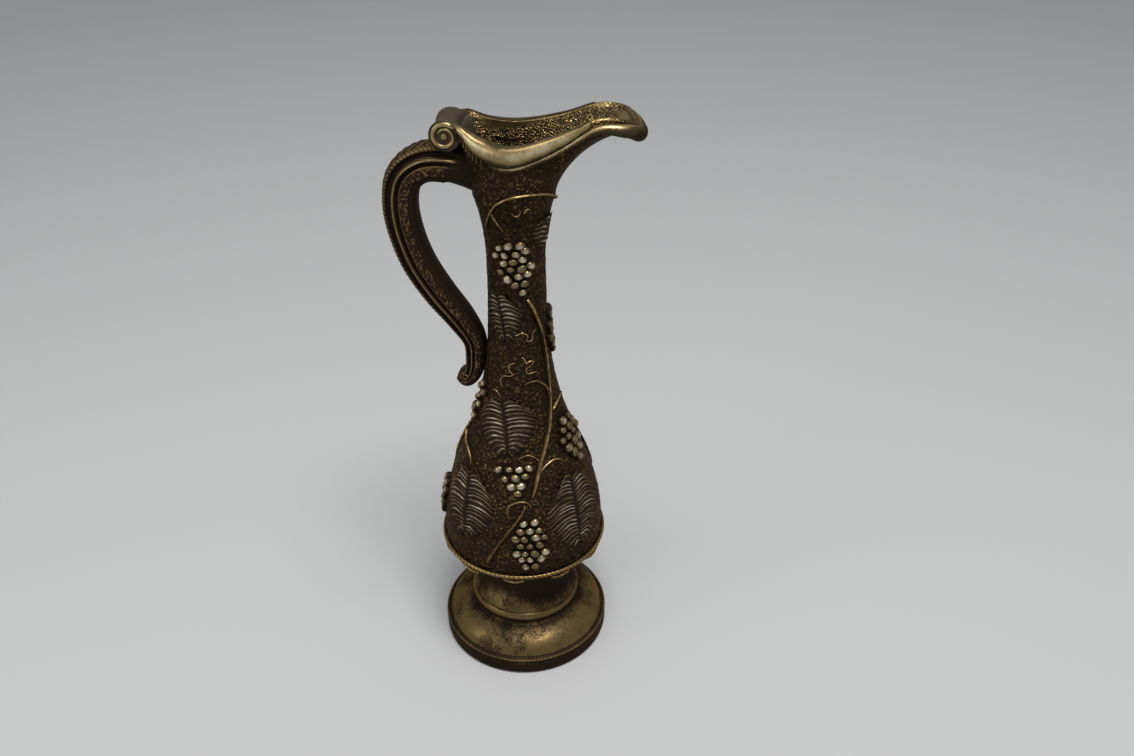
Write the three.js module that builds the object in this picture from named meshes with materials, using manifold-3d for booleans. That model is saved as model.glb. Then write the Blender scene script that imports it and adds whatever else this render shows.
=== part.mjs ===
// A floor-standing pitcher in the style of an antique ewer: turned foot, hollow
// vessel with a slim neck, boat-shaped pouring mouth, scrolled handle, and a
// grapevine of separately moulded sprigs laid on the wall.
// Millimetres, +Z up. Origin: centre of the foot on the floor. +X is the spout,
// -X the handle, and angles run from +X towards +Y. Heights below are measured
// from a datum inside the foot, and every piece is lifted by it at the end.
import * as THREE from 'three';
import Module from 'manifold-3d';
import { mergeVertices } from 'three/addons/utils/BufferGeometryUtils.js';
import { LoftGeometry } from 'three/addons/geometries/LoftGeometry.js';

const wasm = await Module();
wasm.setup();

// Driving dimensions

const fit = 0.3;              // running gap between a piece and what it sits on
const wall = 6;               // thickness of the cast shells
const aroundSteps = 24;       // flats round each turned piece
const datum = 10;             // height of the datum above the floor

const felt = { thick: 2, inset: 3 };

const foot = {
  rimRadius: 123, rimHeight: 12.5,        // plain upright edge of the base
  edgeBead: 3, edgeGroove: 5,             // small bead over the edge, groove inside it
  shoulderRadius: 81.5, shoulderZ: 47.5,  // where the domed base ends
  shoulderBulge: 0.74,                    // fullness of the dome, 0 to 1
  knopRadius: 81, knopDepth: 8, knopZ: 60, knopHalfHeight: 8.5,
  stemBottomRadius: 77.5, stemRadius: 55, stemZ: 114,
};

const bowl = { seatRadius: 62, seatZ: 138, plugRadius: 44, plugLength: 12, floor: 8, bulge: 0.52 };

const belly = { radius: 114, z: 190, spread: 188, power: 2.2 };
const neck = { waistRadius: 37, waistZ: 600, topRadius: 50.5, topZ: 705, flarePower: 2.6 };

const seam = { girdleZ: 177, shoulderZ: 430, spigot: 12, spigotWall: 5 };
const turning = { bellyBands: 8, neckBands: 7, boreBands: 3 };   // straight bands of the cast walls

const mouth = { lipWall: 4.5, roundOver: 1, flare: 0.78, band: 20, tipBand: 9, tipSpan: 0.07, trim: 12 };

// Inner edge of the mouth, from the spout tip round one side to the handle: reach and half width
// as shares of the neck's top radius, and height above the neck
const rimStations = [
  [2.78, 0, 89.5], [2.56, 0.4, 101.5], [1.98, 0.535, 104], [1.11, 0.71, 87], [0.12, 0.86, 74.5],
  [-0.535, 0.7, 78.5], [-0.91, 0.57, 86.5], [-1.15, 0.44, 92], [-1.21, 0, 93.5],
];

const lipRoll = { from: 0.425, to: 0.135, height: 24.5, endHeight: 8, proud: 10, endProud: 4 };
const lipBead = { from: 0.3, radius: 3.2, noseRadius: 10, noseSpan: 0.115, reach: 0.35 };
const lipTabs = {
  count: 6, from: 0.402, to: 0.315, share: 0.62,         // share is each tab's width of its pitch
  drop: 1, length: 11, thick: 3, webThick: 1.9, webHeight: 6,
};

const scroll = { behindRim: 15, belowRim: 17.5, radius: 19, halfWidth: 25.5, ease: 2.5 };
const volute = {
  crest: 15.2, endCrest: 13.4, ridge: 3.9, endRidge: 2.3,  // curling ridge, from its root to its end
  from: 0.1, to: 1.02,                                     // turns from the spout's direction
  eye: 8.6, domed: 0.5, proud: 3.4, back: 1,
};

// Handle: centre line from the mouth to its foot on the wall, with depth and width of the bar.
// Rise is a share of the way from the foot of the handle to its top.
const handle = { footZ: 434, aboveNeck: 36 };
const handleStations = [
  { x: -34, rise: 0.956, depth: 54, width: 42 },
  { x: -56, rise: 0.981, depth: 51, width: 42 },
  { x: -82, rise: 1, depth: 50, width: 42 },
  { x: -110, rise: 0.99, depth: 46, width: 42 },
  { x: -132, rise: 0.932, depth: 44, width: 41 },
  { x: -140, rise: 0.834, depth: 43, width: 40 },
  { x: -137, rise: 0.71, depth: 42, width: 40 },
  { x: -124, rise: 0.567, depth: 41, width: 40 },
  { x: -101, rise: 0.43, depth: 39, width: 39 },
  { x: -75, rise: 0.309, depth: 35, width: 37 },
  { x: -58, rise: 0.205, depth: 29, width: 34 },
  { x: -57, rise: 0.111, depth: 27, width: 31 },
  { x: -61, rise: 0.039, depth: 24, width: 30 },
  { x: -71, rise: 0, depth: 22, width: 30 },
  { x: -80, rise: 0.023, depth: 15, width: 30 },
];
const handleSteps = 20;
// Moulded section of the bar from its back to its inside: depth share, half-width share
const handleSection = [
  [0.5, 0], [0.48, 0.34], [0.4, 0.4], [0.29, 0.31], [0.18, 0.5], [0.07, 0.4],
  [-0.06, 0.46], [-0.3, 0.42], [-0.5, 0.2],
];
const handleLeaf = { from: 0.14, to: 0.35, halfWidth: 13, thick: 2.4, scallops: 5, steps: 10 };

const girdle = { lobes: 14, core: 3.2, lobe: 4.6, squash: 0.32, seat: 0.6 };

const grape = { rise: 6.4, crownShare: 0.56, crownRise: 0.82, valley: 2.4, brim: 1.5, seat: 0.8 };
const leaf = {
  edge: 1.5, crown: 4.4, midrib: 2.1, seat: 1, columns: 6, rows: 6, serration: 0.1,
  spring: 0.4, weep: 0.54, ease: 0.5,     // how the rows rise from the midrib and droop to the edge
};
const vine = { seat: 0.6, sag: 0.32 };

// Sprigs of the front half. Those with a back value repeat, turned by that many degrees.
const bunches = [
  { name: 'bunch_neck', angle: -84, z: 620, lean: 13, pitch: 12.4, rows: [3, 4, 3, 4, 3, 2, 1], back: 180 },
  { name: 'bunch_spout_side', angle: 8, z: 510, lean: -2, pitch: 12.6, rows: [2, 3, 2, 3, 2, 1] },
  { name: 'bunch_handle_side', angle: -158, z: 415, lean: -14, pitch: 12.4, rows: [1, 2, 1, 2, 1, 2] },
  { name: 'bunch_right', angle: -16, z: 356, lean: 0, pitch: 14.6, rows: [2, 3, 4, 3, 2, 1] },
  { name: 'bunch_centre', angle: -88, z: 324.5, lean: 8, pitch: 13.4, rows: [4, 3, 2, 1] },
  { name: 'bunch_low', angle: -78, z: 234, lean: 0, pitch: 13.1, rows: [2, 3, 4, 3, 4, 3, 2], back: 180 },
  { name: 'bunch_left', angle: -174, z: 236, lean: 0, pitch: 13, rows: [2, 3, 2, 3, 2, 1] },
];
const leaves = [
  { name: 'leaf_neck', angle: -113, z: 550, lean: 10, length: 64, width: 50, back: 190 },
  { name: 'leaf_spout_side', angle: -20, z: 663, lean: -24, length: 42, width: 46 },
  { name: 'leaf_middle', angle: -102, z: 395, lean: 10, length: 75, width: 84, back: 180 },
  { name: 'leaf_left', angle: -131.5, z: 273, lean: 8, length: 91, width: 96, back: 180 },
  { name: 'leaf_right', angle: -38, z: 262, lean: -4, length: 101, width: 94, back: 180 },
];
// Runs of vine: stations as angle and height on the wall, width and rise at both ends
const vines = [
  {
    name: 'vine_main', back: 180,
    runs: [
      {
        width: [5, 7.5], rise: [3.2, 4.6],
        stations: [
          [-64, 577], [-50, 556], [-34, 519], [-29, 478], [-33, 440],
          [-42, 402], [-54, 372], [-65, 343], [-75, 300],
        ],
      },
      {
        width: [3, 2.6], rise: [2.6, 2.2],
        stations: [[-62, 344], [-67, 353], [-74, 358.5], [-81, 357.5], [-87, 352.5]],
      },
      {
        width: [3.2, 2.6], rise: [2.8, 2.2],
        stations: [[-66, 332], [-60, 340], [-50, 345], [-42, 342], [-37, 334]],
      },
      {
        width: [3.4, 2.8], rise: [3, 2.4],
        stations: [[-34, 432], [-37, 443], [-44, 451], [-55, 458], [-69, 457], [-77, 454]],
      },
    ],
  },
  {
    name: 'vine_low', back: 180,
    runs: [
      {
        width: [5, 8.5], rise: [3.6, 5],
        stations: [[-80, 293], [-87, 272], [-97, 246], [-105, 218], [-110, 193]],
      },
    ],
  },
  {
    name: 'vine_left',
    runs: [
      { width: [3.4, 4.6], rise: [3, 3.4], stations: [[-165, 374], [-174, 350], [-182, 322], [-183, 292]] },
      {
        width: [3.6, 3], rise: [3.2, 2.4],
        stations: [[-171, 357], [-161, 348], [-149, 343], [-141, 336], [-138, 327]],
      },
    ],
  },
  {
    name: 'vine_arch',
    runs: [
      {
        width: [3.4, 4.2], rise: [2.8, 3.2],
        stations: [[-136, 669], [-122, 691], [-105, 710], [-81, 720], [-45, 719], [-12, 706], [14, 693]],
      },
      { width: [3.4, 2.6], rise: [2.8, 2.4], stations: [[-118, 697], [-110, 683], [-101, 670]] },
    ],
  },
  {
    name: 'vine_right',
    runs: [
      {
        width: [3.8, 3], rise: [3, 2.4],
        stations: [[-35, 407.5], [-28, 411], [-18, 415], [-6, 416], [6, 412], [14, 407]],
      },
    ],
  },
  {
    name: 'tendril_ring',
    runs: [
      {
        width: [2.8, 2.8], rise: [2.4, 2.4],
        stations: [[-75, 287], [-78.5, 296], [-86, 297.5], [-93, 292], [-95, 282], [-92, 272]],
      },
    ],
  },
];

// Finishes

const antiqueGold = new THREE.MeshStandardMaterial({ color: 0x7d6436, roughness: 0.42, metalness: 0.8 });
const darkGround = new THREE.MeshStandardMaterial({ color: 0x3a2b18, roughness: 0.55, metalness: 0.6 });
const brushedSilver = new THREE.MeshStandardMaterial({ color: 0x9a937f, roughness: 0.38, metalness: 0.8 });
const leafPewter = new THREE.MeshStandardMaterial({ color: 0x6c6350, roughness: 0.5, metalness: 0.7 });
const darkFelt = new THREE.MeshStandardMaterial({ color: 0x1d1b18, roughness: 0.95, metalness: 0 });

// Small helpers

const radians = THREE.MathUtils.degToRad;
const mix = THREE.MathUtils.lerp;

/** Closed solid from a geometry: only positions, with shared corners merged. */
function solidOf(geometry) {
  const bare = new THREE.BufferGeometry().copy(geometry);
  bare.deleteAttribute('normal');
  bare.deleteAttribute('uv');
  const merged = mergeVertices(bare, 1e-4);
  return new wasm.Manifold(new wasm.Mesh({
    numProp: 3,
    vertProperties: new Float32Array(merged.attributes.position.array),
    triVerts: new Uint32Array(merged.index.array),
  }));
}

/** Geometry of a solid, ready for a mesh. */
function geometryOf(solid) {
  const mesh = solid.getMesh();
  const geometry = new THREE.BufferGeometry();
  geometry.setAttribute('position', new THREE.BufferAttribute(mesh.vertProperties, 3));
  geometry.setIndex(new THREE.BufferAttribute(mesh.triVerts, 1));
  geometry.computeVertexNormals();
  return geometry;
}

/** Turned piece from a closed profile of [radius, height], up the outside and down the inside. */
function turned(profile, steps = aroundSteps) {
  const points = profile.map(([radius, z]) => new THREE.Vector2(radius, z));
  const open = profile[0][0] > 0 || profile.at(-1)[0] > 0;
  if (open) points.push(points[0].clone());
  return new THREE.LatheGeometry(points, steps).rotateX(Math.PI / 2);
}

/** Points from one end of a quadratic curve to the other, both ends included. */
function bow(from, via, to, count) {
  const curve = new THREE.QuadraticBezierCurve(
    new THREE.Vector2(...from), new THREE.Vector2(...via), new THREE.Vector2(...to));
  return curve.getPoints(count).map((p) => [p.x, p.y]);
}

/** Heights from one level to another in equal steps, both ends included. */
function levels(from, to, count) {
  return Array.from({ length: count + 1 }, (_, i) => mix(from, to, i / count));
}

// The wall of the vessel

/** Outer radius of belly and neck: a bell-shaped swell on the waist, and a flare above it. */
function wallRadius(z) {
  const swell = Math.exp(-Math.pow(Math.abs(z - belly.z) / belly.spread, belly.power));
  const climb = THREE.MathUtils.clamp((z - neck.waistZ) / (neck.topZ - neck.waistZ), 0, 1);
  const flare = (neck.topRadius - neck.waistRadius) * Math.pow(climb, neck.flarePower);
  return neck.waistRadius + (belly.radius - neck.waistRadius) * swell + flare;
}

const bellyLevels = levels(seam.girdleZ, seam.shoulderZ, turning.bellyBands);
const neckLevels = levels(seam.shoulderZ, neck.topZ, turning.neckBands);

/** Outer radius of the cast wall, straight between the levels at which it is turned. */
function castRadius(z) {
  const stations = [...bellyLevels, ...neckLevels];
  const above = stations.findIndex((level) => level > z);
  if (above < 1) return wallRadius(z);
  const [low, high] = [stations[above - 1], stations[above]];
  return mix(wallRadius(low), wallRadius(high), (z - low) / (high - low));
}

/** Point on the wall at an angle and height, lifted along the wall's outward normal. */
function onWall(angle, z, proud) {
  const slope = (wallRadius(z + 0.5) - wallRadius(z - 0.5));
  const length = Math.hypot(1, slope);
  const radius = castRadius(z) + proud / length;
  const turn = radians(angle);
  return new THREE.Vector3(radius * Math.cos(turn), radius * Math.sin(turn), z - proud * slope / length);
}

/** Solid core of belly and neck, a gap larger than the wall, for trimming what seats on it. */
function vesselCore(gap) {
  const outline = [...bellyLevels, ...neckLevels.slice(1)].map((z) => [wallRadius(z) + gap, z]);
  return solidOf(turned([[0, seam.girdleZ], ...outline, [0, neck.topZ]]));
}

// The pouring mouth

const mouthSteps = 28;

const rimPoints = rimStations.map(([reach, half, rise]) =>
  new THREE.Vector3(reach * neck.topRadius, half * neck.topRadius, neck.topZ + rise));
const rimCurve = new THREE.CatmullRomCurve3(
  [...rimPoints, ...rimPoints.slice(1, -1).reverse().map(({ x, y, z }) => new THREE.Vector3(x, -y, z))],
  true, 'catmullrom', 0.5);
const rimTop = Math.max(...rimPoints.map(({ z }) => z));
const rimBack = rimPoints.at(-1);

/** Rim point at a share of the way round from the spout tip, pushed outwards in plan. */
function rimPoint(share, out) {
  const point = rimCurve.getPoint(share);
  const tangent = rimCurve.getTangent(share);
  const length = Math.hypot(tangent.x, tangent.y);
  return point.add(new THREE.Vector3(tangent.y / length * out, -tangent.x / length * out, 0));
}

/** Height of the band under the rim, less at the spout's tip. */
function bandDrop(share) {
  const away = Math.min(share, 1 - share) / mouth.tipSpan;
  return mix(mouth.band, mouth.tipBand, Math.exp(-away * away));
}

/** Ring of the mouth between the neck's circle (rise 0) and the rim (rise 1), dropped below it. */
function mouthRing(rise, neckRadius, rimOut, dropAt = bandDrop) {
  const across = Math.pow(1 - Math.cos(rise * Math.PI / 2), mouth.flare);
  const up = Math.sin(rise * Math.PI / 2);
  return Array.from({ length: mouthSteps }, (_, i) => {
    const share = i / mouthSteps;
    const turn = share * Math.PI * 2;
    const rim = rimPoint(share, rimOut);
    return new THREE.Vector3(
      mix(neckRadius * Math.cos(turn), rim.x, across),
      mix(neckRadius * Math.sin(turn), rim.y, across),
      mix(neck.topZ, rim.z - dropAt(share), up));
  });
}

/** Plain circle of points at a height. */
function circleRing(radius, z) {
  return Array.from({ length: mouthSteps }, (_, i) => {
    const turn = i / mouthSteps * Math.PI * 2;
    return new THREE.Vector3(radius * Math.cos(turn), radius * Math.sin(turn), z);
  });
}

const mouthRises = [0.25, 0.5, 0.75, 1];
const mouthSpigotRadius = wallRadius(neck.topZ - seam.spigot) - wall - fit;

function mouthShell() {
  const bore = neck.topRadius - wall;
  const underRim = () => mouth.roundOver;
  const sections = [
    circleRing(mouthSpigotRadius - seam.spigotWall, neck.topZ - seam.spigot),
    circleRing(mouthSpigotRadius, neck.topZ - seam.spigot),
    circleRing(mouthSpigotRadius, neck.topZ),
    circleRing(neck.topRadius, neck.topZ),
    ...mouthRises.map((rise) => mouthRing(rise, neck.topRadius, mouth.lipWall)),
    mouthRing(1, neck.topRadius, mouth.lipWall, underRim),
    mouthRing(1, neck.topRadius, mouth.roundOver, () => 0),
    mouthRing(1, bore, 0, underRim),
    ...mouthRises.slice(0, -1).reverse().map((rise) => mouthRing(rise, bore, 0, underRim)),
  ];
  sections.push(sections[0]);
  return new LoftGeometry(sections);
}

/** Solid core of the mouth, a gap larger than its outside, for trimming the lip trim and handle. */
function mouthCore(gap) {
  const underBand = (share) => bandDrop(share) + 2 * gap;
  const sections = [
    circleRing(neck.topRadius + gap, neck.topZ - 2),
    circleRing(neck.topRadius + gap, neck.topZ),
    ...mouthRises.map((rise) =>
      mouthRing(rise, neck.topRadius + gap, mouth.lipWall + gap, underBand)),
    mouthRing(1, neck.topRadius, mouth.lipWall + gap).map((point) => point.setZ(rimTop + mouth.trim)),
  ];
  return solidOf(new LoftGeometry(sections, { capStart: true, capEnd: true }));
}

/** How far the lip roll swells below the rim, as a share of the way round from the tip. */
function rollSwell(share) {
  const along = (share - lipRoll.to) / (lipRoll.from - lipRoll.to);
  return along > 0 && along < 1 ? Math.sin(along * Math.PI) : 0;
}

function rollHeight(share) {
  return mix(lipRoll.endHeight, lipRoll.height, Math.pow(rollSwell(share), 1.2));
}

/** Mirror image across the plane of symmetry, with its faces still pointing out. */
function mirrored(solid) {
  return solid.mirror([0, 1, 0]);
}

/** Fat crescent roll under the lip on the +Y side, from the scroll to the spout. */
function lipRollSolid() {
  const steps = 10;
  // Section of the roll: share of how far it stands out, share of its height below the rim
  const outline = [
    [-3, 0.1], [0.45, 0.06], [0.85, -0.16], [1, -0.45], [0.82, -0.76], [0.4, -0.96], [-3, -1],
  ];
  const sections = levels(lipRoll.to, lipRoll.from, steps).map((share) => {
    const height = rollHeight(share);
    const proud = mix(lipRoll.endProud, lipRoll.proud, rollSwell(share));
    return outline.map(([out, down]) => {
      const point = rimPoint(share, mouth.lipWall + (out < 0 ? out : out * proud));
      point.z += down * height;
      return point;
    });
  });
  return solidOf(new LoftGeometry(sections, { capStart: true, capEnd: true }));
}

/** Rounded bead under the roll on both sides, swelling into the rolled nose of the spout. */
function lipBeadSolid() {
  const steps = 24;
  const sides = 6;
  const sections = levels(-lipBead.from, lipBead.from, steps).map((signed) => {
    const share = Math.abs(signed);
    const nose = Math.exp(-Math.pow(share / lipBead.noseSpan, 2));
    const radius = mix(lipBead.radius, lipBead.noseRadius, nose);
    const hang = share > lipRoll.to ? rollHeight(share) : lipRoll.endHeight * share / lipRoll.to;
    const ring = [];
    for (let i = 0; i < sides; i++) {
      const turn = i / sides * Math.PI * 2;
      const centre = mouth.lipWall + lipBead.reach * radius;
      const point = rimPoint(((signed % 1) + 1) % 1, centre + radius * Math.cos(turn));
      point.z += radius * Math.sin(turn) - hang - radius + fit;
      ring.push(point);
    }
    return ring.reverse();
  });
  return solidOf(new LoftGeometry(sections, { capStart: true, capEnd: true }));
}

/** Row of small hanging tabs under the lip roll on the +Y side, on one backing strip. */
function lipTabsSolid() {
  const pitch = (lipTabs.from - lipTabs.to) / lipTabs.count;
  const blocks = [];
  const block = (start, end, proud, bottom, count) => {
    const sections = levels(start, end, count).map((share) => {
      const hang = rollHeight(share);
      const outline = [[-2, lipTabs.drop], [proud, lipTabs.drop], [proud, bottom], [-2, bottom]];
      return outline.map(([out, down]) => {
        const point = rimPoint(share, mouth.lipWall + out);
        point.z -= hang + down;
        return point;
      });
    });
    return solidOf(new LoftGeometry(sections, { capStart: true, capEnd: true }));
  };
  for (let i = 0; i < lipTabs.count; i++) {
    const start = lipTabs.to + pitch * (i + (1 - lipTabs.share) / 2);
    blocks.push(block(start, start + pitch * lipTabs.share, lipTabs.thick, lipTabs.length, 1));
  }
  blocks.push(block(lipTabs.to, lipTabs.from, lipTabs.webThick, lipTabs.webHeight, lipTabs.count));
  return wasm.Manifold.union(blocks);
}

const scrollX = rimBack.x - scroll.behindRim;
const scrollZ = rimBack.z - scroll.belowRim;

/** Cross roll behind the mouth, slightly waisted between its two ends. */
function scrollSolid(gap, half = scroll.halfWidth + gap) {
  const profile = levels(-half, half, 4).map((y) => {
    const middle = Math.max(0, 1 - Math.pow(y / scroll.halfWidth, 2));
    return [scroll.radius + gap - scroll.ease * middle * middle, y];
  });
  const roll = new THREE.LatheGeometry(
    [[0, -half], ...profile, [0, half]].map(([radius, y]) => new THREE.Vector2(radius, y)), 24);
  return solidOf(roll.translate(scrollX, 0, scrollZ));
}

/** Curling ridge and domed eye, cast on a thin disc, on the +Y end of the cross roll. */
function voluteSolid() {
  const steps = 14;
  const sides = 6;
  const face = scroll.halfWidth + fit;
  const sections = levels(0, 1, steps).map((share) => {
    const turn = mix(volute.from, volute.to, share) * Math.PI * 2;
    const reach = mix(volute.crest, volute.endCrest, share);
    const ridge = mix(volute.ridge, volute.endRidge, share);
    const outward = new THREE.Vector3(Math.cos(turn), 0, Math.sin(turn));
    return Array.from({ length: sides }, (_, i) => {
      const around = i / sides * Math.PI * 2;
      return new THREE.Vector3(scrollX, face, scrollZ)
        .addScaledVector(outward, reach + ridge * Math.cos(around))
        .add(new THREE.Vector3(0, volute.proud / volute.ridge * ridge * Math.sin(around), 0));
    });
  });
  const curl = solidOf(new LoftGeometry(sections, { capStart: true, capEnd: true }));
  const eye = new THREE.SphereGeometry(volute.eye, 8, 4);
  eye.scale(1, volute.domed, 1).translate(scrollX, face, scrollZ);
  const disc = new THREE.CylinderGeometry(volute.crest, volute.crest, volute.back, 16)
    .translate(scrollX, face + volute.back / 2, scrollZ);
  const outside = new THREE.BoxGeometry(80, 40, 80).translate(scrollX, face + 20, scrollZ);
  return wasm.Manifold.union([curl, solidOf(eye), solidOf(disc)]).intersect(solidOf(outside));
}

// The handle

const handleLine = new THREE.CatmullRomCurve3(
  handleStations.map(({ x, rise }) =>
    new THREE.Vector3(x, 0, mix(handle.footZ, neck.topZ + handle.aboveNeck, rise))),
  false, 'catmullrom', 0.5);

/** Frame of the handle at a share of its length: centre, outward direction, depth and width. */
function handleFrame(share) {
  const centre = handleLine.getPoint(share);
  const tangent = handleLine.getTangent(share);
  const outward = new THREE.Vector3(tangent.z, 0, -tangent.x);
  const place = share * (handleStations.length - 1);
  const before = handleStations[Math.min(Math.floor(place), handleStations.length - 2)];
  const after = handleStations[handleStations.indexOf(before) + 1];
  const part = place - handleStations.indexOf(before);
  return {
    centre, outward,
    depth: mix(before.depth, after.depth, part),
    width: mix(before.width, after.width, part),
  };
}

function handleBar() {
  const otherSide = handleSection.slice(1).reverse().map(([depth, half]) => [depth, -half]);
  const outline = [...handleSection, ...otherSide];
  const sections = levels(0, 1, handleSteps).map((share) => {
    const { centre, outward, depth, width } = handleFrame(share);
    return outline.map(([along, half]) => centre.clone()
      .addScaledVector(outward, along * depth)
      .add(new THREE.Vector3(0, half * width, 0)));
  });
  return solidOf(new LoftGeometry(sections, { capStart: true, capEnd: true }));
}

/** Scalloped leaf lying on the back of the handle below the cross roll. */
function handleLeafSolid() {
  const columns = [-1, -0.5, 0, 0.5, 1];
  const row = (share, lift) => {
    const along = (share - handleLeaf.from) / (handleLeaf.to - handleLeaf.from);
    const { centre, outward, depth } = handleFrame(share);
    const scallop = 0.82 + 0.18 * Math.abs(Math.sin(along * Math.PI * handleLeaf.scallops));
    const half = handleLeaf.halfWidth * scallop * Math.pow(Math.sin(Math.PI * mix(0.16, 0.97, along)), 0.6);
    return columns.map((side) => centre.clone()
      .addScaledVector(outward, depth / 2 + fit + lift * (1 - 0.45 * side * side))
      .add(new THREE.Vector3(0, side * half, 0)));
  };
  const sections = levels(handleLeaf.from, handleLeaf.to, handleLeaf.steps).map((share) => [
    ...row(share, handleLeaf.thick),
    ...row(share, 0).reverse(),
  ]);
  return solidOf(new LoftGeometry(sections, { capStart: true, capEnd: true }));
}

// Foot, bowl, belly and neck

function feltDisc() {
  const radius = foot.rimRadius - felt.inset;
  const top = felt.thick - datum;
  return turned([[0, -datum], [radius, -datum], [radius, top], [0, top]]);
}

function footCasting() {
  const { rimRadius, rimHeight, edgeBead, edgeGroove } = foot;
  const grooveRadius = rimRadius - edgeGroove;
  const grooveZ = rimHeight + edgeBead * 2;
  const dome = bow(
    [grooveRadius, grooveZ],
    [
      mix(foot.shoulderRadius, grooveRadius, foot.shoulderBulge),
      mix(grooveZ, foot.shoulderZ, foot.shoulderBulge),
    ],
    [foot.shoulderRadius, foot.shoulderZ], 3);
  const knop = levels(-Math.PI / 2, Math.PI / 2, 4).map((turn) => [
    foot.knopRadius - foot.knopDepth + foot.knopDepth * Math.cos(turn),
    foot.knopZ + foot.knopHalfHeight * Math.sin(turn),
  ]);
  const knopTop = foot.knopZ + foot.knopHalfHeight;
  const waist = [foot.stemRadius, foot.stemZ];
  const seat = [bowl.seatRadius, bowl.seatZ];
  const stem = [
    ...bow([foot.stemBottomRadius, knopTop], [foot.stemRadius, mix(knopTop, foot.stemZ, 0.4)], waist, 3),
    ...bow(waist, [foot.stemRadius, mix(foot.stemZ, bowl.seatZ, 0.6)], seat, 2).slice(1),
  ];
  const socket = bowl.plugRadius + fit;
  const feltZ = felt.thick - datum;
  return turned([
    [rimRadius - 1.5, feltZ],
    [rimRadius, feltZ + 5],
    [rimRadius, rimHeight],
    [rimRadius + 1, rimHeight + edgeBead],
    [rimRadius - 1, grooveZ],
    ...dome,
    ...knop,
    ...stem,
    [socket, bowl.seatZ],
    [socket, bowl.seatZ - bowl.plugLength - fit],
    [foot.stemRadius - wall, foot.stemZ - 4],
    [foot.stemRadius - wall + 4, mix(knopTop, foot.stemZ, 0.4)],
    [foot.stemBottomRadius - wall, knopTop - wall],
    [foot.shoulderRadius - wall, foot.shoulderZ - wall],
    [grooveRadius - wall, grooveZ - wall],
    [rimRadius - wall - 1.5, feltZ],
  ]);
}

const bellySocketRadius = wallRadius(seam.girdleZ) - wall;
const bellySpigotRadius = bellySocketRadius - fit;
const neckSpigotRadius = wallRadius(seam.shoulderZ) - wall - fit;

function bowlCasting() {
  const rimRadius = wallRadius(seam.girdleZ);
  const outside = bow(
    [bowl.seatRadius, bowl.seatZ],
    [mix(bowl.seatRadius, rimRadius, 0.86), mix(bowl.seatZ, seam.girdleZ, 1 - bowl.bulge - 0.12)],
    [rimRadius, seam.girdleZ], 4);
  const inside = bow(
    [bellySpigotRadius - seam.spigotWall, seam.girdleZ + seam.spigot],
    [bellySpigotRadius - seam.spigotWall, mix(bowl.seatZ + bowl.floor, seam.girdleZ, 0.3)],
    [bowl.plugRadius, bowl.seatZ + bowl.floor], 3);
  return turned([
    [0, bowl.seatZ - bowl.plugLength],
    [bowl.plugRadius, bowl.seatZ - bowl.plugLength],
    [bowl.plugRadius, bowl.seatZ],
    ...outside,
    [bellySpigotRadius, seam.girdleZ],
    [bellySpigotRadius, seam.girdleZ + seam.spigot],
    ...inside,
    [0, bowl.seatZ + bowl.floor],
  ]);
}

function bellyShell() {
  const outside = bellyLevels.map((z) => [wallRadius(z), z]);
  const socketZ = seam.girdleZ + seam.spigot + fit;
  const inside = levels(seam.shoulderZ, socketZ, turning.boreBands).map((z) => [wallRadius(z) - wall, z]);
  return turned([...outside, ...inside, [bellySocketRadius, socketZ], [bellySocketRadius, seam.girdleZ]]);
}

function neckTube() {
  const outside = neckLevels.map((z) => [wallRadius(z), z]);
  const inside = levels(neck.topZ, seam.shoulderZ + 30, turning.boreBands)
    .map((z) => [wallRadius(z) - wall, z]);
  return turned([
    [neckSpigotRadius, seam.shoulderZ - seam.spigot],
    [neckSpigotRadius, seam.shoulderZ],
    ...outside,
    ...inside,
    [neckSpigotRadius - seam.spigotWall, seam.shoulderZ - seam.spigot],
  ]);
}

/** Two-strand vine twist over the seam of bowl and belly, flattened against the wall. */
function girdleRing() {
  const steps = girdle.lobes * 4;
  const sides = 6;
  const centre = wallRadius(seam.girdleZ) + girdle.seat + (girdle.core + girdle.lobe) * girdle.squash;
  const sections = Array.from({ length: steps }, (_, i) => {
    const turn = i / steps * Math.PI * 2;
    const twist = turn * girdle.lobes / 2;
    return Array.from({ length: sides }, (_unused, j) => {
      const around = -j / sides * Math.PI * 2;
      const reach = girdle.core + girdle.lobe * Math.pow(Math.cos(around - twist), 2);
      const radius = centre + reach * girdle.squash * Math.cos(around);
      const z = seam.girdleZ + reach * Math.sin(around);
      return new THREE.Vector3(radius * Math.cos(turn), radius * Math.sin(turn), z);
    });
  });
  sections.push(sections[0]);
  return new LoftGeometry(sections);
}

// Sprigs

/** Point above the wall in a sprig's own plane: u to the right, v up, turned by its lean. */
function sprigPoint(place, u, v, proud) {
  const lean = radians(place.lean);
  const right = u * Math.cos(lean) - v * Math.sin(lean);
  const up = u * Math.sin(lean) + v * Math.cos(lean);
  const slope = wallRadius(place.z + 0.5) - wallRadius(place.z - 0.5);
  const z = place.z + up / Math.hypot(1, slope);
  return onWall(place.angle + THREE.MathUtils.radToDeg(right / wallRadius(z)), z, proud);
}

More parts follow.
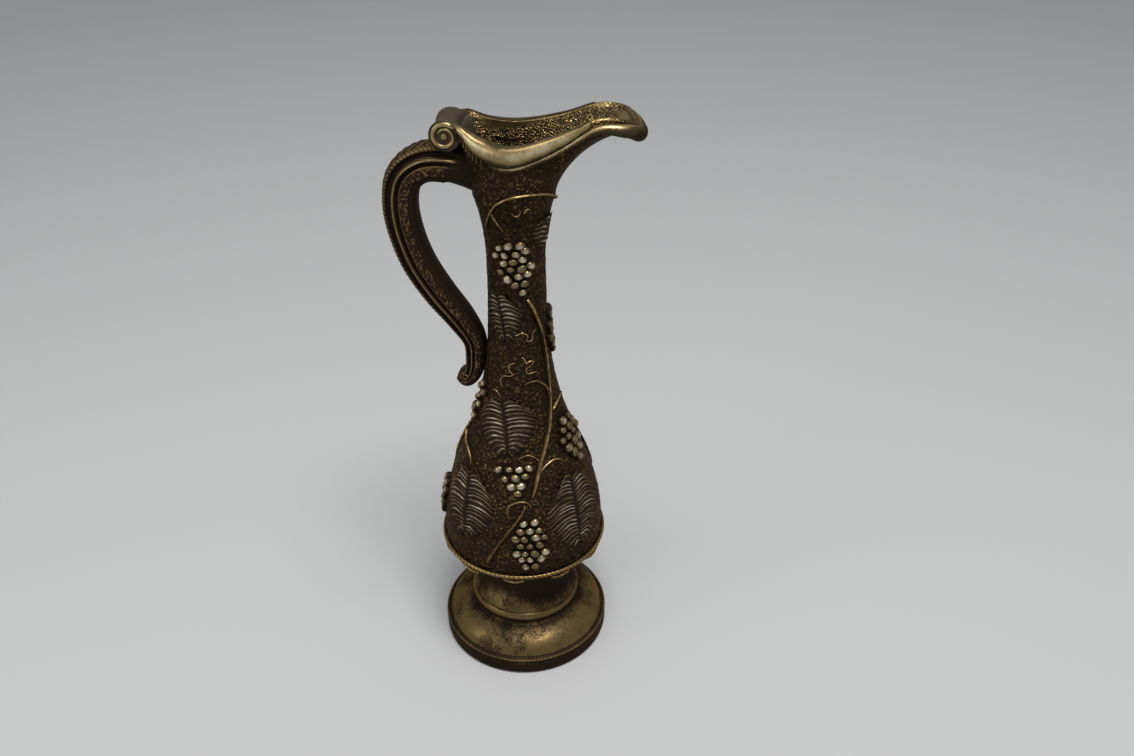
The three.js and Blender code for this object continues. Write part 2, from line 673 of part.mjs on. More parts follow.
/** Bunch of grapes: a honeycomb of six-sided cells, each drawn up into a berry. */
function grapeBunch(place) {
  const positions = [];
  const cellRadius = place.pitch / Math.sqrt(3);
  const rowPitch = cellRadius * 1.5;
  const lift = (place.rows.length - 1) / 2 * rowPitch;
  const centres = place.rows.flatMap((count, row) =>
    Array.from({ length: count }, (_, i) => [(i - (count - 1) / 2) * place.pitch, lift - row * rowPitch]));
  const key = (u, v) => `${Math.round(u / place.pitch * 4)},${Math.round(v / cellRadius * 4)}`;
  const corner = ([u, v], side, share = 1) => {
    const turn = radians(side * 60 + 30);
    return [u + cellRadius * share * Math.cos(turn), v + cellRadius * share * Math.sin(turn)];
  };
  const uses = new Map();
  for (const centre of centres) {
    for (let side = 0; side < 6; side++) {
      const name = key(...corner(centre, side));
      uses.set(name, (uses.get(name) ?? 0) + 1);
    }
  }
  const push = (...points) => points.forEach((point) => positions.push(...point.toArray()));
  const taken = new Set(centres.map(([u, v]) => key(u, v)));
  for (const centre of centres) {
    const at = (side, share, proud) => sprigPoint(place, ...corner(centre, side, share), proud);
    const rim = (side) => {
      const shared = uses.get(key(...corner(centre, side))) === 3;
      return at(side, 1, shared ? grape.valley : grape.brim);
    };
    const top = sprigPoint(place, ...centre, grape.rise);
    for (let side = 0; side < 6; side++) {
      const crown = at(side, grape.crownShare, grape.rise * grape.crownRise);
      const nextCrown = at(side + 1, grape.crownShare, grape.rise * grape.crownRise);
      const base = at(side, 1, grape.seat);
      const nextBase = at(side + 1, 1, grape.seat);
      push(top, crown, nextCrown);
      push(crown, rim(side), rim(side + 1));
      push(crown, rim(side + 1), nextCrown);
      if (side > 0 && side < 5) push(at(0, 1, grape.seat), nextBase, base);
      const across = radians(side * 60 + 60);
      const neighbour = key(
        centre[0] + place.pitch * Math.cos(across), centre[1] + place.pitch * Math.sin(across));
      if (!taken.has(neighbour)) {
        push(base, nextBase, rim(side + 1));
        push(base, rim(side + 1), rim(side));
      }
    }
  }
  const geometry = new THREE.BufferGeometry();
  geometry.setAttribute('position', new THREE.Float32BufferAttribute(positions, 3));
  return solidOf(geometry);
}

/** Vine leaf hanging from its stem end: two crowned halves with a sunk midrib and a toothed edge. */
function leafSprig(place) {
  const columns = levels(-1, 1, leaf.columns);
  const rowPoints = (along, proudOf) => {
    const body = Math.pow(Math.sin(Math.PI * Math.pow(mix(0.03, 0.985, along), 0.72)), 0.62);
    return columns.map((side) => {
      const away = Math.abs(side);
      const sway = (leaf.spring * away - leaf.weep * away * away) * (1 - leaf.ease * along);
      const tooth = away === 1 ? 1 + leaf.serration * Math.cos(along * leaf.rows * Math.PI) : 1;
      const u = side * place.width / 2 * body * tooth;
      const v = place.length * (0.5 - along + sway);
      return sprigPoint(place, u, v, proudOf(side));
    });
  };
  const crowned = (side) => {
    const away = Math.abs(side);
    const crown = leaf.midrib + (leaf.crown - leaf.midrib) * Math.sin(Math.PI * Math.min(1, away * 1.15));
    return away === 1 ? leaf.edge : Math.max(crown, leaf.edge);
  };
  const sections = levels(0, 1, leaf.rows).map((along) => [
    ...rowPoints(along, crowned),
    ...rowPoints(along, () => leaf.seat).reverse(),
  ].reverse());
  return solidOf(new LoftGeometry(sections, { capStart: true, capEnd: true }));
}

/** One run of vine lying on the wall: half-round, tapering from its first end to its last. */
function vineRun(run) {
  const line = new THREE.CatmullRomCurve3(
    run.stations.map(([angle, z]) => new THREE.Vector3(angle, z, 0)), false, 'catmullrom', 0.5);
  const steps = Math.ceil(run.stations.reduce((sum, [angle, z], i) => {
    const [oldAngle, oldZ] = run.stations[Math.max(0, i - 1)];
    const length = Math.hypot(z - oldZ, radians(angle - oldAngle) * wallRadius(z));
    return sum + length / Math.sqrt(8 * wallRadius(z) * vine.sag);
  }, 0));
  const outline = [[0.5, 0], [0.4, 0.62], [0, 1], [-0.4, 0.62], [-0.5, 0]];
  const sections = levels(0, 1, steps).map((share) => {
    const here = line.getPoint(share);
    const way = line.getTangent(share);
    const across = new THREE.Vector2(-way.y, radians(way.x) * wallRadius(here.y)).normalize();
    const width = mix(...run.width, share);
    const rise = mix(...run.rise, share);
    return outline.map(([side, height]) => {
      const z = here.y + across.y * side * width;
      const angle = here.x + THREE.MathUtils.radToDeg(across.x * side * width / wallRadius(here.y));
      return onWall(angle, z, vine.seat + height * rise);
    });
  });
  return solidOf(new LoftGeometry(sections, { capStart: true, capEnd: true }));
}

function vineSprig(sprig, turn) {
  const shifted = sprig.runs.map((run) => ({
    ...run, stations: run.stations.map(([angle, z]) => [angle + turn, z]),
  }));
  return wasm.Manifold.union(shifted.map(vineRun));
}

// Assembly

const pitcher = new THREE.Group();

function add(name, geometry, material) {
  const mesh = new THREE.Mesh(geometry.translate(0, 0, datum), material);
  mesh.name = name;
  pitcher.add(mesh);
}

add('base_felt', feltDisc(), darkFelt);
add('foot', footCasting(), antiqueGold);
add('bowl', bowlCasting(), darkGround);
add('belly', bellyShell(), darkGround);
add('neck', neckTube(), darkGround);
add('mouth', mouthShell(), darkGround);
add('girdle_ring', girdleRing(), antiqueGold);

const core = mouthCore(fit);
const body = vesselCore(fit);
const crossRoll = scrollSolid(0).subtract(core);
const rollAndVolutes = scrollSolid(fit, scroll.halfWidth + volute.proud + 2 * fit);
const bead = lipBeadSolid().subtract(core);
const sideRoll = lipRollSolid().subtract(rollAndVolutes);
const sideTabs = lipTabsSolid().subtract(rollAndVolutes);
const sideVolute = voluteSolid();
add('scroll_roll', geometryOf(crossRoll), antiqueGold);
add('lip_bead', geometryOf(bead), antiqueGold);
for (const [side, place] of [['front', mirrored], ['back', (solid) => solid]]) {
  add(`lip_roll_${side}`, geometryOf(place(sideRoll).subtract(core)), antiqueGold);
  add(`lip_tabs_${side}`, geometryOf(place(sideTabs).subtract(core)), antiqueGold);
  add(`volute_${side}`, geometryOf(place(sideVolute).subtract(core)), antiqueGold);
}

const bar = handleBar().subtract(core).subtract(body).subtract(scrollSolid(fit));
add('handle', geometryOf(bar), antiqueGold);
add('handle_leaf', geometryOf(handleLeafSolid().subtract(scrollSolid(fit))), antiqueGold);

const kinds = [[bunches, grapeBunch, brushedSilver], [leaves, leafSprig, leafPewter]];
for (const [list, make, finish] of kinds) {
  for (const place of list) {
    add(`${place.name}_front`, geometryOf(make(place)), finish);
    if (place.back) {
      add(`${place.name}_back`, geometryOf(make({ ...place, angle: place.angle + place.back })), finish);
    }
  }
}
for (const sprig of vines) {
  add(`${sprig.name}_front`, geometryOf(vineSprig(sprig, 0).subtract(core)), antiqueGold);
  if (sprig.back) add(`${sprig.name}_back`, geometryOf(vineSprig(sprig, sprig.back)), antiqueGold);
}

export default pitcher;
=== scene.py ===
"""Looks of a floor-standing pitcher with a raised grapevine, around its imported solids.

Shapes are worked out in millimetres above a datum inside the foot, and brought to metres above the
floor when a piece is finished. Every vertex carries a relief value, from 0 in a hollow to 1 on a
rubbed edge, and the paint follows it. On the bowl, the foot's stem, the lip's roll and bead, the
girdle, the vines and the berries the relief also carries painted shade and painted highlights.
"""

import logging
import math
import random
from dataclasses import dataclass
from enum import Enum
from typing import Callable, Sequence

import bmesh
import bpy
from mathutils import Matrix, Vector, noise
from mathutils.bvhtree import BVHTree


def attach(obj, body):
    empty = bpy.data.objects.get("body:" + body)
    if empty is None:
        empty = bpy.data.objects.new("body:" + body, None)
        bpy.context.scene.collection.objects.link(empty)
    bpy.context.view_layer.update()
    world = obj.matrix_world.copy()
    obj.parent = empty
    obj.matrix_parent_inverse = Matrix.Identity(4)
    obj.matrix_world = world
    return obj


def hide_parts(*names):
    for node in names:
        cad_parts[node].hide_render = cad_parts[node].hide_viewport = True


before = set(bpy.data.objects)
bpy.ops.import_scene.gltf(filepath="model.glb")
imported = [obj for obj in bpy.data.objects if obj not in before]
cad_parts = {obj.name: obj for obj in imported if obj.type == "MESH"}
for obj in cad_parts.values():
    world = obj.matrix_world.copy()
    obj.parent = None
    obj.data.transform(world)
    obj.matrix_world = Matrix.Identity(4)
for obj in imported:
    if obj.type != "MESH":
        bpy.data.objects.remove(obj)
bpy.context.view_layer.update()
LOG = logging.getLogger("pitcher")
MM = 0.001
DATUM = 10  # height of the shapes' own zero above the floor, in millimetres
SIDES = (("back", False), ("front", True))  # the two sides, and whether each is a mirror image
HOLLOW_BROWN = (0.008, 0.005, 0.003, 1)
WARM_SHEEN = (0.6, 0.48, 0.34, 1)
FELT_FIBRE = (0.06, 0.056, 0.05, 1)
INSIDE = 0.1  # relief of faces that are out of sight
Spot = tuple[Vector, float]  # a point and its relief
Place = Callable[[float, float], Spot]
Tree = bpy.types.NodeTree
Socket = bpy.types.NodeSocket


def mix(low: float, high: float, share: float) -> float:
    """Value at a share of the way from low to high."""
    return low + (high - low) * share


def ease(low: float, high: float, value: float) -> float:
    """Smooth step from 0 at low to 1 at high."""
    share = min(1.0, max(0.0, (value - low) / (high - low)))
    return share * share * (3 - 2 * share)


def catmull(points: Sequence[Vector], share: float, closed: bool = False) -> Vector:
    """Point on a smooth curve through a row of points.

    Args:
        points: The points that the curve runs through.
        share: How far along the curve, 0 to 1, in even steps between the points.
        closed: Whether the curve returns to its first point.

    Returns:
        The point, with as many coordinates as the given ones.
    """
    count = len(points)
    spans = count if closed else count - 1
    place = share * spans
    index = min(math.floor(place), spans - 1)
    t = place - index

    def at(i: int) -> Vector:
        """Control point, wrapped round or mirrored past an end."""
        if closed:
            return points[i % count]
        if i < 0:
            return points[0] * 2 - points[1]
        return points[i] if i < count else points[-1] * 2 - points[-2]

    a, b, c, d = (at(index + k) for k in (-1, 0, 1, 2))
    bend = 2 * a - 5 * b + 4 * c - d
    twist = 3 * b - a - 3 * c + d
    return 0.5 * (2 * b + (c - a) * t + bend * t * t + twist * t ** 3)


def polar(radius: float, turn: float, z: float) -> Vector:
    """Point at a radius, an angle in radians and a height."""
    return Vector((radius * math.cos(turn), radius * math.sin(turn), z))


def hidden(outline: Sequence[tuple[float, float]]) -> list[tuple[float, float, float]]:
    """Outline of (radius, height) points with the relief of faces out of sight."""
    return [(radius, z, INSIDE) for radius, z in outline]


def placed(name: str, data: bpy.types.ID) -> bpy.types.Object:
    """Object made of a mesh, lamp or camera and put in the scene."""
    made = bpy.data.objects.new(name, data)
    bpy.context.scene.collection.objects.link(made)
    return made


class Slot(Enum):
    """Material slots of the part's record, one passed with each of the scene's own pieces."""

    DARK = "dark_patina"
    GOLD = "antique_gold"
    GRAPE = "silvered_grape"
    LEAF = "aged_leaf"


# Materials

def wire(tree: Tree, kind: str, sockets: dict, **settings: object) -> bpy.types.Node:
    """Adds a node, sets its properties, and sets or links its inputs.

    Args:
        tree: The node tree to add to.
        kind: The node's type name without the ShaderNode in front.
        sockets: Input name or index to a value or to another node's output.
        settings: The node's own properties.

    Returns:
        The new node.
    """
    node = tree.nodes.new("ShaderNode" + kind)
    for key, value in settings.items():
        setattr(node, key, value)
    for key, value in sockets.items():
        if isinstance(value, Socket):
            tree.links.new(value, node.inputs[key])
        else:
            node.inputs[key].default_value = value
    return node


def blend(tree: Tree, share: object, low: object, high: object) -> Socket:
    """Colour mixed from low to high by a share; returns the mix's colour output."""
    node = wire(tree, "Mix", {0: share, 6: low, 7: high}, data_type="RGBA")
    return node.outputs[2]


def sums(tree: Tree, operation: str, *values: object) -> Socket:
    """Result of a math node on the given values or outputs."""
    return wire(tree, "Math", dict(enumerate(values)), operation=operation).outputs[0]


def spread(tree: Tree, value: object, given: Sequence[object],
           wanted: tuple[float, float] = (0.0, 1.0), **settings: object) -> Socket:
    """Value carried from one span onto another, held at its ends.

    Args:
        tree: The node tree to add to.
        value: The value or output to carry over.
        given: The span that the value comes in.
        wanted: The span that it's carried to.
        settings: The node's own properties.

    Returns:
        The carried value's output.
    """
    sockets = {"Value": value, "From Min": given[0], "From Max": given[1],
               "To Min": wanted[0], "To Max": wanted[1]}
    return wire(tree, "MapRange", sockets, **settings).outputs[0]


def swung(tree: Tree, value: object, amount: object) -> Socket:
    """Value measured from its middle, 0.5, and scaled by an amount."""
    return sums(tree, "MULTIPLY", sums(tree, "SUBTRACT", value, 0.5), amount)


def speckle(tree: Tree, where: object, scale: float, detail: float, roughness: float) -> Socket:
    """Noise from 0 to 1 at a place."""
    sockets = {"Vector": where, "Scale": scale, "Detail": detail, "Roughness": roughness}
    return wire(tree, "TexNoise", sockets).outputs[0]


def step_mask(tree: Tree, value: object, level: object, softness: float) -> Socket:
    """Mask that rises smoothly from 0 to 1 where a value passes a level."""
    edges = [sums(tree, operation, level, softness) for operation in ("SUBTRACT", "ADD")]
    return spread(tree, value, edges, interpolation_type="SMOOTHSTEP")


def emptied(owner: bpy.types.Material | bpy.types.World) -> Tree:
    """Node tree of a material or world, cleared of the nodes that it starts with."""
    owner.use_nodes = True
    owner.node_tree.nodes.clear()
    return owner.node_tree


def antique_paint_group() -> Tree:
    """Builds the shared node group of rubbed paint over a patina.

    Returns:
        A group that turns relief into colour, roughness, metallic and bump height.
    """
    name = "rubbed_antique_paint"
    if name in bpy.data.node_groups:
        return bpy.data.node_groups[name]
    tree = bpy.data.node_groups.new(name, "ShaderNodeTree")
    kinds = {
        "Relief": "Float", "Patina": "Color", "Gold": "Color", "Bright": "Color",
        "Gold Level": "Float", "Bright Level": "Float", "Cloud": "Float", "Grain": "Float",
        "Stipple": "Float", "Stipple Scale": "Float",
    }
    for key, kind in kinds.items():
        tree.interface.new_socket(key, in_out="INPUT", socket_type="NodeSocket" + kind)
    results = {"Color": "Color", "Roughness": "Float", "Metallic": "Float", "Height": "Float"}
    for key, kind in results.items():
        tree.interface.new_socket(key, in_out="OUTPUT", socket_type="NodeSocket" + kind)
    given = tree.nodes.new("NodeGroupInput").outputs
    where = tree.nodes.new("ShaderNodeTexCoord").outputs["Object"]
    cloud = speckle(tree, where, 19.0, 5.0, 0.62)
    grain = speckle(tree, where, 330.0, 4.0, 0.7)
    push = wire(tree, "TexNoise", {"Vector": where, "Scale": 120.0, "Detail": 2.0}).outputs["Color"]
    shift = wire(tree, "VectorMath", {0: push, 3: 0.006}, operation="SCALE").outputs[0]
    bent = wire(tree, "VectorMath", {0: where, 1: shift}, operation="ADD").outputs[0]
    cells = wire(tree, "TexVoronoi", {"Vector": bent, "Scale": given["Stipple Scale"]},
                 feature="SMOOTH_F1").outputs["Distance"]
    relief = given["Relief"]
    middling = sums(tree, "MULTIPLY", spread(tree, relief, (0.14, 0.3)), spread(tree, relief, (0.78, 0.56)))
    stippling = sums(tree, "MULTIPLY", middling, given["Stipple"])
    stippled = swung(tree, spread(tree, cells, (0.62, 0.12)), stippling)
    clouded = swung(tree, cloud, given["Cloud"])
    grained = swung(tree, grain, given["Grain"])
    raised = sums(tree, "ADD", relief, stippled)
    value = sums(tree, "ADD", raised, sums(tree, "ADD", clouded, grained))
    gold_mask = step_mask(tree, value, given["Gold Level"], 0.17)
    bright_mask = step_mask(tree, value, given["Bright Level"], 0.16)
    colour = blend(tree, gold_mask, given["Patina"], given["Gold"])
    colour = blend(tree, bright_mask, colour, given["Bright"])
    colour = blend(tree, spread(tree, value, (0.12, -0.1), (0.0, 0.7)), colour, HOLLOW_BROWN)
    rough = sums(tree, "ADD", spread(tree, gold_mask, (0.0, 1.0), (0.58, 0.31)), swung(tree, grain, 0.25))
    metal = spread(tree, gold_mask, (0.0, 1.0), (0.6, 0.85))
    height = sums(tree, "ADD", sums(tree, "MULTIPLY", stippled, 1.6), sums(tree, "MULTIPLY", grained, 0.5))
    leave = tree.nodes.new("NodeGroupOutput")
    for key, value in {"Color": colour, "Roughness": rough, "Metallic": metal, "Height": height}.items():
        tree.links.new(value, leave.inputs[key])
    return tree


@dataclass(frozen=True)
class AntiquePaint:
    """Metallic paint over a dark patina, rubbed through on whatever stands proud."""

    name: str
    patina: tuple[float, float, float] = (0.020, 0.013, 0.008)
    gold: tuple[float, float, float] = (0.185, 0.112, 0.040)
    bright: tuple[float, float, float] = (0.42, 0.31, 0.15)
    gold_level: float = 0.45
    bright_level: float = 0.95
    cloud: float = 0.5
    grain: float = 0.35
    stipple: float = 0.0
    stipple_scale: float = 190.0
    bump: float = 0.35
    depth: float = 0.0008

    def material(self) -> bpy.types.Material:
        """Builds the finish's material, or returns it if it's there already."""
        if self.name in bpy.data.materials:
            return bpy.data.materials[self.name]
        made = bpy.data.materials.new(self.name)
        tree = emptied(made)
        relief = wire(tree, "Attribute", {}, attribute_name="relief", attribute_type="GEOMETRY")
        paint = wire(tree, "Group", {
            "Relief": relief.outputs["Fac"], "Patina": (*self.patina, 1), "Gold": (*self.gold, 1),
            "Bright": (*self.bright, 1), "Gold Level": self.gold_level,
            "Bright Level": self.bright_level, "Cloud": self.cloud, "Grain": self.grain,
            "Stipple": self.stipple, "Stipple Scale": self.stipple_scale,
        }, node_tree=antique_paint_group())
        out = paint.outputs
        bump = wire(tree, "Bump", {"Strength": self.bump, "Distance": self.depth, "Height": out["Height"]})
        shader = wire(tree, "BsdfPrincipled", {
            "Base Color": out["Color"], "Roughness": out["Roughness"], "Metallic": out["Metallic"],
            "Normal": bump.outputs[0], "Specular IOR Level": 0.15, "Specular Tint": WARM_SHEEN,
        })
        wire(tree, "OutputMaterial", {"Surface": shader.outputs[0]})
        return made


@dataclass(frozen=True)
class Felt:
    """Dark pressed felt."""

    name: str = "dark_felt"
    colour: tuple[float, float, float] = (0.018, 0.017, 0.015)

    def material(self) -> bpy.types.Material:
        """Builds the felt's material."""
        made = bpy.data.materials.new(self.name)
        tree = emptied(made)
        where = tree.nodes.new("ShaderNodeTexCoord").outputs["Object"]
        fibre = speckle(tree, where, 900.0, 6.0, 0.8)
        colour = blend(tree, fibre, (*self.colour, 1), FELT_FIBRE)
        bump = wire(tree, "Bump", {"Strength": 0.6, "Distance": 0.0006, "Height": fibre})
        shader = wire(tree, "BsdfPrincipled", {
            "Base Color": colour, "Roughness": 0.95, "Normal": bump.outputs[0], "Sheen Weight": 0.4,
        })
        wire(tree, "OutputMaterial", {"Surface": shader.outputs[0]})
        return made


GROUND = AntiquePaint(
    "stippled_ground", patina=(0.024, 0.0155, 0.008), gold=(0.105, 0.067, 0.026), gold_level=0.6,
    bright=(0.25, 0.165, 0.068), cloud=1.0, grain=0.7, stipple=0.75, stipple_scale=210.0, bump=1.0,
    depth=0.002)
LINING = AntiquePaint(
    "mouth_lining", patina=(0.06, 0.044, 0.023), gold=(0.26, 0.18, 0.075), gold_level=0.44,
    bright=(0.46, 0.34, 0.15), bright_level=1.0, cloud=0.6, stipple=0.9, stipple_scale=420.0, bump=1.0,
    depth=0.0013)
SADDLE_BROWN = AntiquePaint(
    "saddle_brown", patina=(0.062, 0.048, 0.033), gold=(0.13, 0.095, 0.05), gold_level=0.6,
    bright_level=1.3, grain=0.2)
# Bowl finish, darker than the foot and belly: painted shade for the shade under the girdle.
BOWL_PAINTED_SHADE = AntiquePaint(
    "bowl_painted_shade", gold=(0.13, 0.082, 0.032), gold_level=0.6, bright_level=1.2, cloud=0.9, grain=0.4)
FOOT_GOLD = AntiquePaint(
    "turned_gold", gold=(0.15, 0.102, 0.041), gold_level=0.5, bright=(0.30, 0.22, 0.10),
    bright_level=0.98, cloud=1.15, grain=0.6)
TRIM_GOLD = AntiquePaint(
    "trim_gold", patina=(0.05, 0.038, 0.02), gold=(0.27, 0.195, 0.09), gold_level=0.5,
    bright=(0.56, 0.48, 0.29), bright_level=0.86, cloud=1.2)
VINE_GOLD = AntiquePaint(
    "vine_gold", gold=(0.17, 0.105, 0.038), gold_level=0.55, bright=(0.38, 0.27, 0.12), cloud=0.7,
    grain=0.5)
HANDLE_PAINT = AntiquePaint(
    "handle_gold", gold=(0.15, 0.10, 0.045), gold_level=0.55, bright=(0.34, 0.27, 0.15),
    bright_level=0.92, cloud=0.4)
GRAPE_SILVER = AntiquePaint(
    "grape_silver", gold=(0.155, 0.118, 0.058), gold_level=0.4, bright=(0.50, 0.445, 0.34),
    bright_level=0.93, cloud=0.9, grain=0.3)
LEAF_SILVER = AntiquePaint(
    "leaf_silver", patina=(0.022, 0.016, 0.010), gold=(0.14, 0.102, 0.055), gold_level=0.42,
    bright=(0.47, 0.44, 0.375), bright_level=0.76, cloud=0.9, grain=0.45)


# Making pieces

class Casting:
    """One piece being shaped, in millimetres, with a relief value on every vertex."""

    weld: float = 0.02  # vertices nearer than this become one

    def __init__(self) -> None:
        """Starts an empty piece."""
        self.bm = bmesh.new()
        self.relief = self.bm.verts.layers.float.new("relief")

    def face_out(self) -> None:
        """Turns every face outwards."""
        bmesh.ops.recalc_face_normals(self.bm, faces=self.bm.faces[:])

    def sheet(self, columns: int, rows: int, place: Place, paint: Callable[[float, float], int] | None = None,
              flip: bool = False) -> None:
        """Adds a grid whose points are carried to their places on a surface.

        Args:
            columns: Steps across the sheet.
            rows: Steps along the sheet.
            place: Gives the point and its relief for shares across and along, each 0 to 1.
            paint: Gives a face's material number for its shares, or None for the first material.
            flip: Whether the faces are turned over.
        """
        made = bmesh.ops.create_grid(self.bm, x_segments=columns, y_segments=rows, size=0.5)["verts"]
        faces = list({face for vert in made for face in vert.link_faces})
        if paint:
            for face in faces:
                middle = face.calc_center_median()
                face.material_index = paint(middle.x + 0.5, middle.y + 0.5)
        for vert in made:
            vert.co, vert[self.relief] = place(vert.co.x + 0.5, vert.co.y + 0.5)
        if flip:
            bmesh.ops.reverse_faces(self.bm, faces=faces)
        bmesh.ops.remove_doubles(self.bm, verts=made, dist=self.weld)

    def tube(self, around: int, along: int, place: Place) -> None:
        """Adds a closed tube, drawn to a point at both ends.

        Args:
            around: Steps round the tube.
            along: Steps along it.
            place: Gives the point and its relief for shares round and along, each 0 to 1.
        """
        first = len(self.bm.faces)
        self.sheet(around, along, place)
        self.bm.faces.ensure_lookup_table()
        bmesh.ops.recalc_face_normals(self.bm, faces=self.bm.faces[first:])

    def turned(self, profile: Sequence[tuple[float, float, float]], steps: int) -> None:
        """Spins a profile of (radius, height, relief) round the upright axis."""
        verts = []
        for radius, z, relief in profile:
            vert = self.bm.verts.new((radius, 0, z))
            vert[self.relief] = relief
            verts.append(vert)
        edges = [self.bm.edges.new(pair) for pair in zip(verts, verts[1:])]
        bmesh.ops.spin(self.bm, geom=verts + edges, cent=(0, 0, 0), axis=(0, 0, 1), angle=math.tau,
                       steps=steps, use_merge=True)
        bmesh.ops.remove_doubles(self.bm, verts=self.bm.verts[:], dist=self.weld)
        self.face_out()

    def ball(self, centre: Vector, axes: Matrix, radii: Vector, tone: float = 1.0) -> None:
        """Adds a berry: a scaled sphere whose relief rises to a tone on its outer side.

        Args:
            centre: The berry's middle.
            axes: Its own axes as columns, the last one pointing outwards.
            radii: Its radius along each of them.
            tone: Relief at its outermost point.
        """
        made = bmesh.ops.create_icosphere(self.bm, subdivisions=3, radius=1)["verts"]
        for vert in made:
            # Relief kept low over the berry's sides and high only near its outermost point: rubbed silver on
            # the crest, with painted shade on the sides and a narrow painted highlight.
            vert[self.relief] = tone * ease(0.15, 1.0, vert.co.z) ** 1.3
            vert.co = centre + axes @ Vector(a * b for a, b in zip(vert.co, radii))

    def finish(self, name: str, slot: Slot, finishes: Sequence[AntiquePaint], *nodes: str,
               mirror: bool = False) -> bpy.types.Object:
        """Turns the piece into an object in metres that rides on the pitcher.

        Args:
            name: The object's name.
            slot: The record's material slot; not used.
            finishes: Its finishes, in the order of its faces' material numbers.
            nodes: The solids that it stands for.
            mirror: Whether it's turned into its mirror image across the plane of spout and handle.

        Returns:
            The finished object.
        """
        scale = (MM, -MM, MM) if mirror else (MM, MM, MM)
        bmesh.ops.translate(self.bm, vec=(0, 0, DATUM), verts=self.bm.verts[:])
        bmesh.ops.scale(self.bm, vec=scale, verts=self.bm.verts[:])
        if mirror:
            bmesh.ops.reverse_faces(self.bm, faces=self.bm.faces[:])
        for face in self.bm.faces:
            face.smooth = True
        mesh = bpy.data.meshes.new(name)
        self.bm.to_mesh(mesh)
        self.bm.free()
        for finish in finishes:
            mesh.materials.append(finish.material())
        made = placed(name, mesh)
        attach(made, "root")
        if nodes:
            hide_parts(*nodes)
        LOG.info("%s: %d faces", name, len(mesh.polygons))
        return made


# Body

@dataclass(frozen=True)
class Wall:
    """Outside of belly and neck: a bell-shaped swell on the waist, and a flare above it."""

    belly_radius: float = 114
    belly_z: float = 190
    spread: float = 188
    power: float = 2.2
    waist_radius: float = 37
    waist_z: float = 600
    top_radius: float = 50.5
    top_z: float = 705
    flare_power: float = 2.6
    girdle_z: float = 177
    shoulder_z: float = 430
    thick: float = 6

    def radius(self, z: float) -> float:
        """Radius of the outside at a height."""
        swell = math.exp(-(abs(z - self.belly_z) / self.spread) ** self.power)
        climb = min(1.0, max(0.0, (z - self.waist_z) / (self.top_z - self.waist_z)))
        flare = (self.top_radius - self.waist_radius) * climb ** self.flare_power
        return self.waist_radius + (self.belly_radius - self.waist_radius) * swell + flare

    def slope(self, z: float) -> float:
        """Growth of the radius for each millimetre of height."""
        return self.radius(z + 0.5) - self.radius(z - 0.5)

    def point(self, angle: float, z: float, proud: float) -> Vector:
        """Point at an angle in degrees and a height, lifted along the wall's normal."""
        slope = self.slope(z)
        length = math.hypot(1, slope)
        radius = self.radius(z) + proud / length
        return polar(radius, math.radians(angle), z - proud * slope / length)

    def normal(self, angle: float, z: float) -> Vector:
        """Outward normal at an angle in degrees and a height."""
        turn = math.radians(angle)
        return Vector((math.cos(turn), math.sin(turn), -self.slope(z))).normalized()


WALL = Wall()


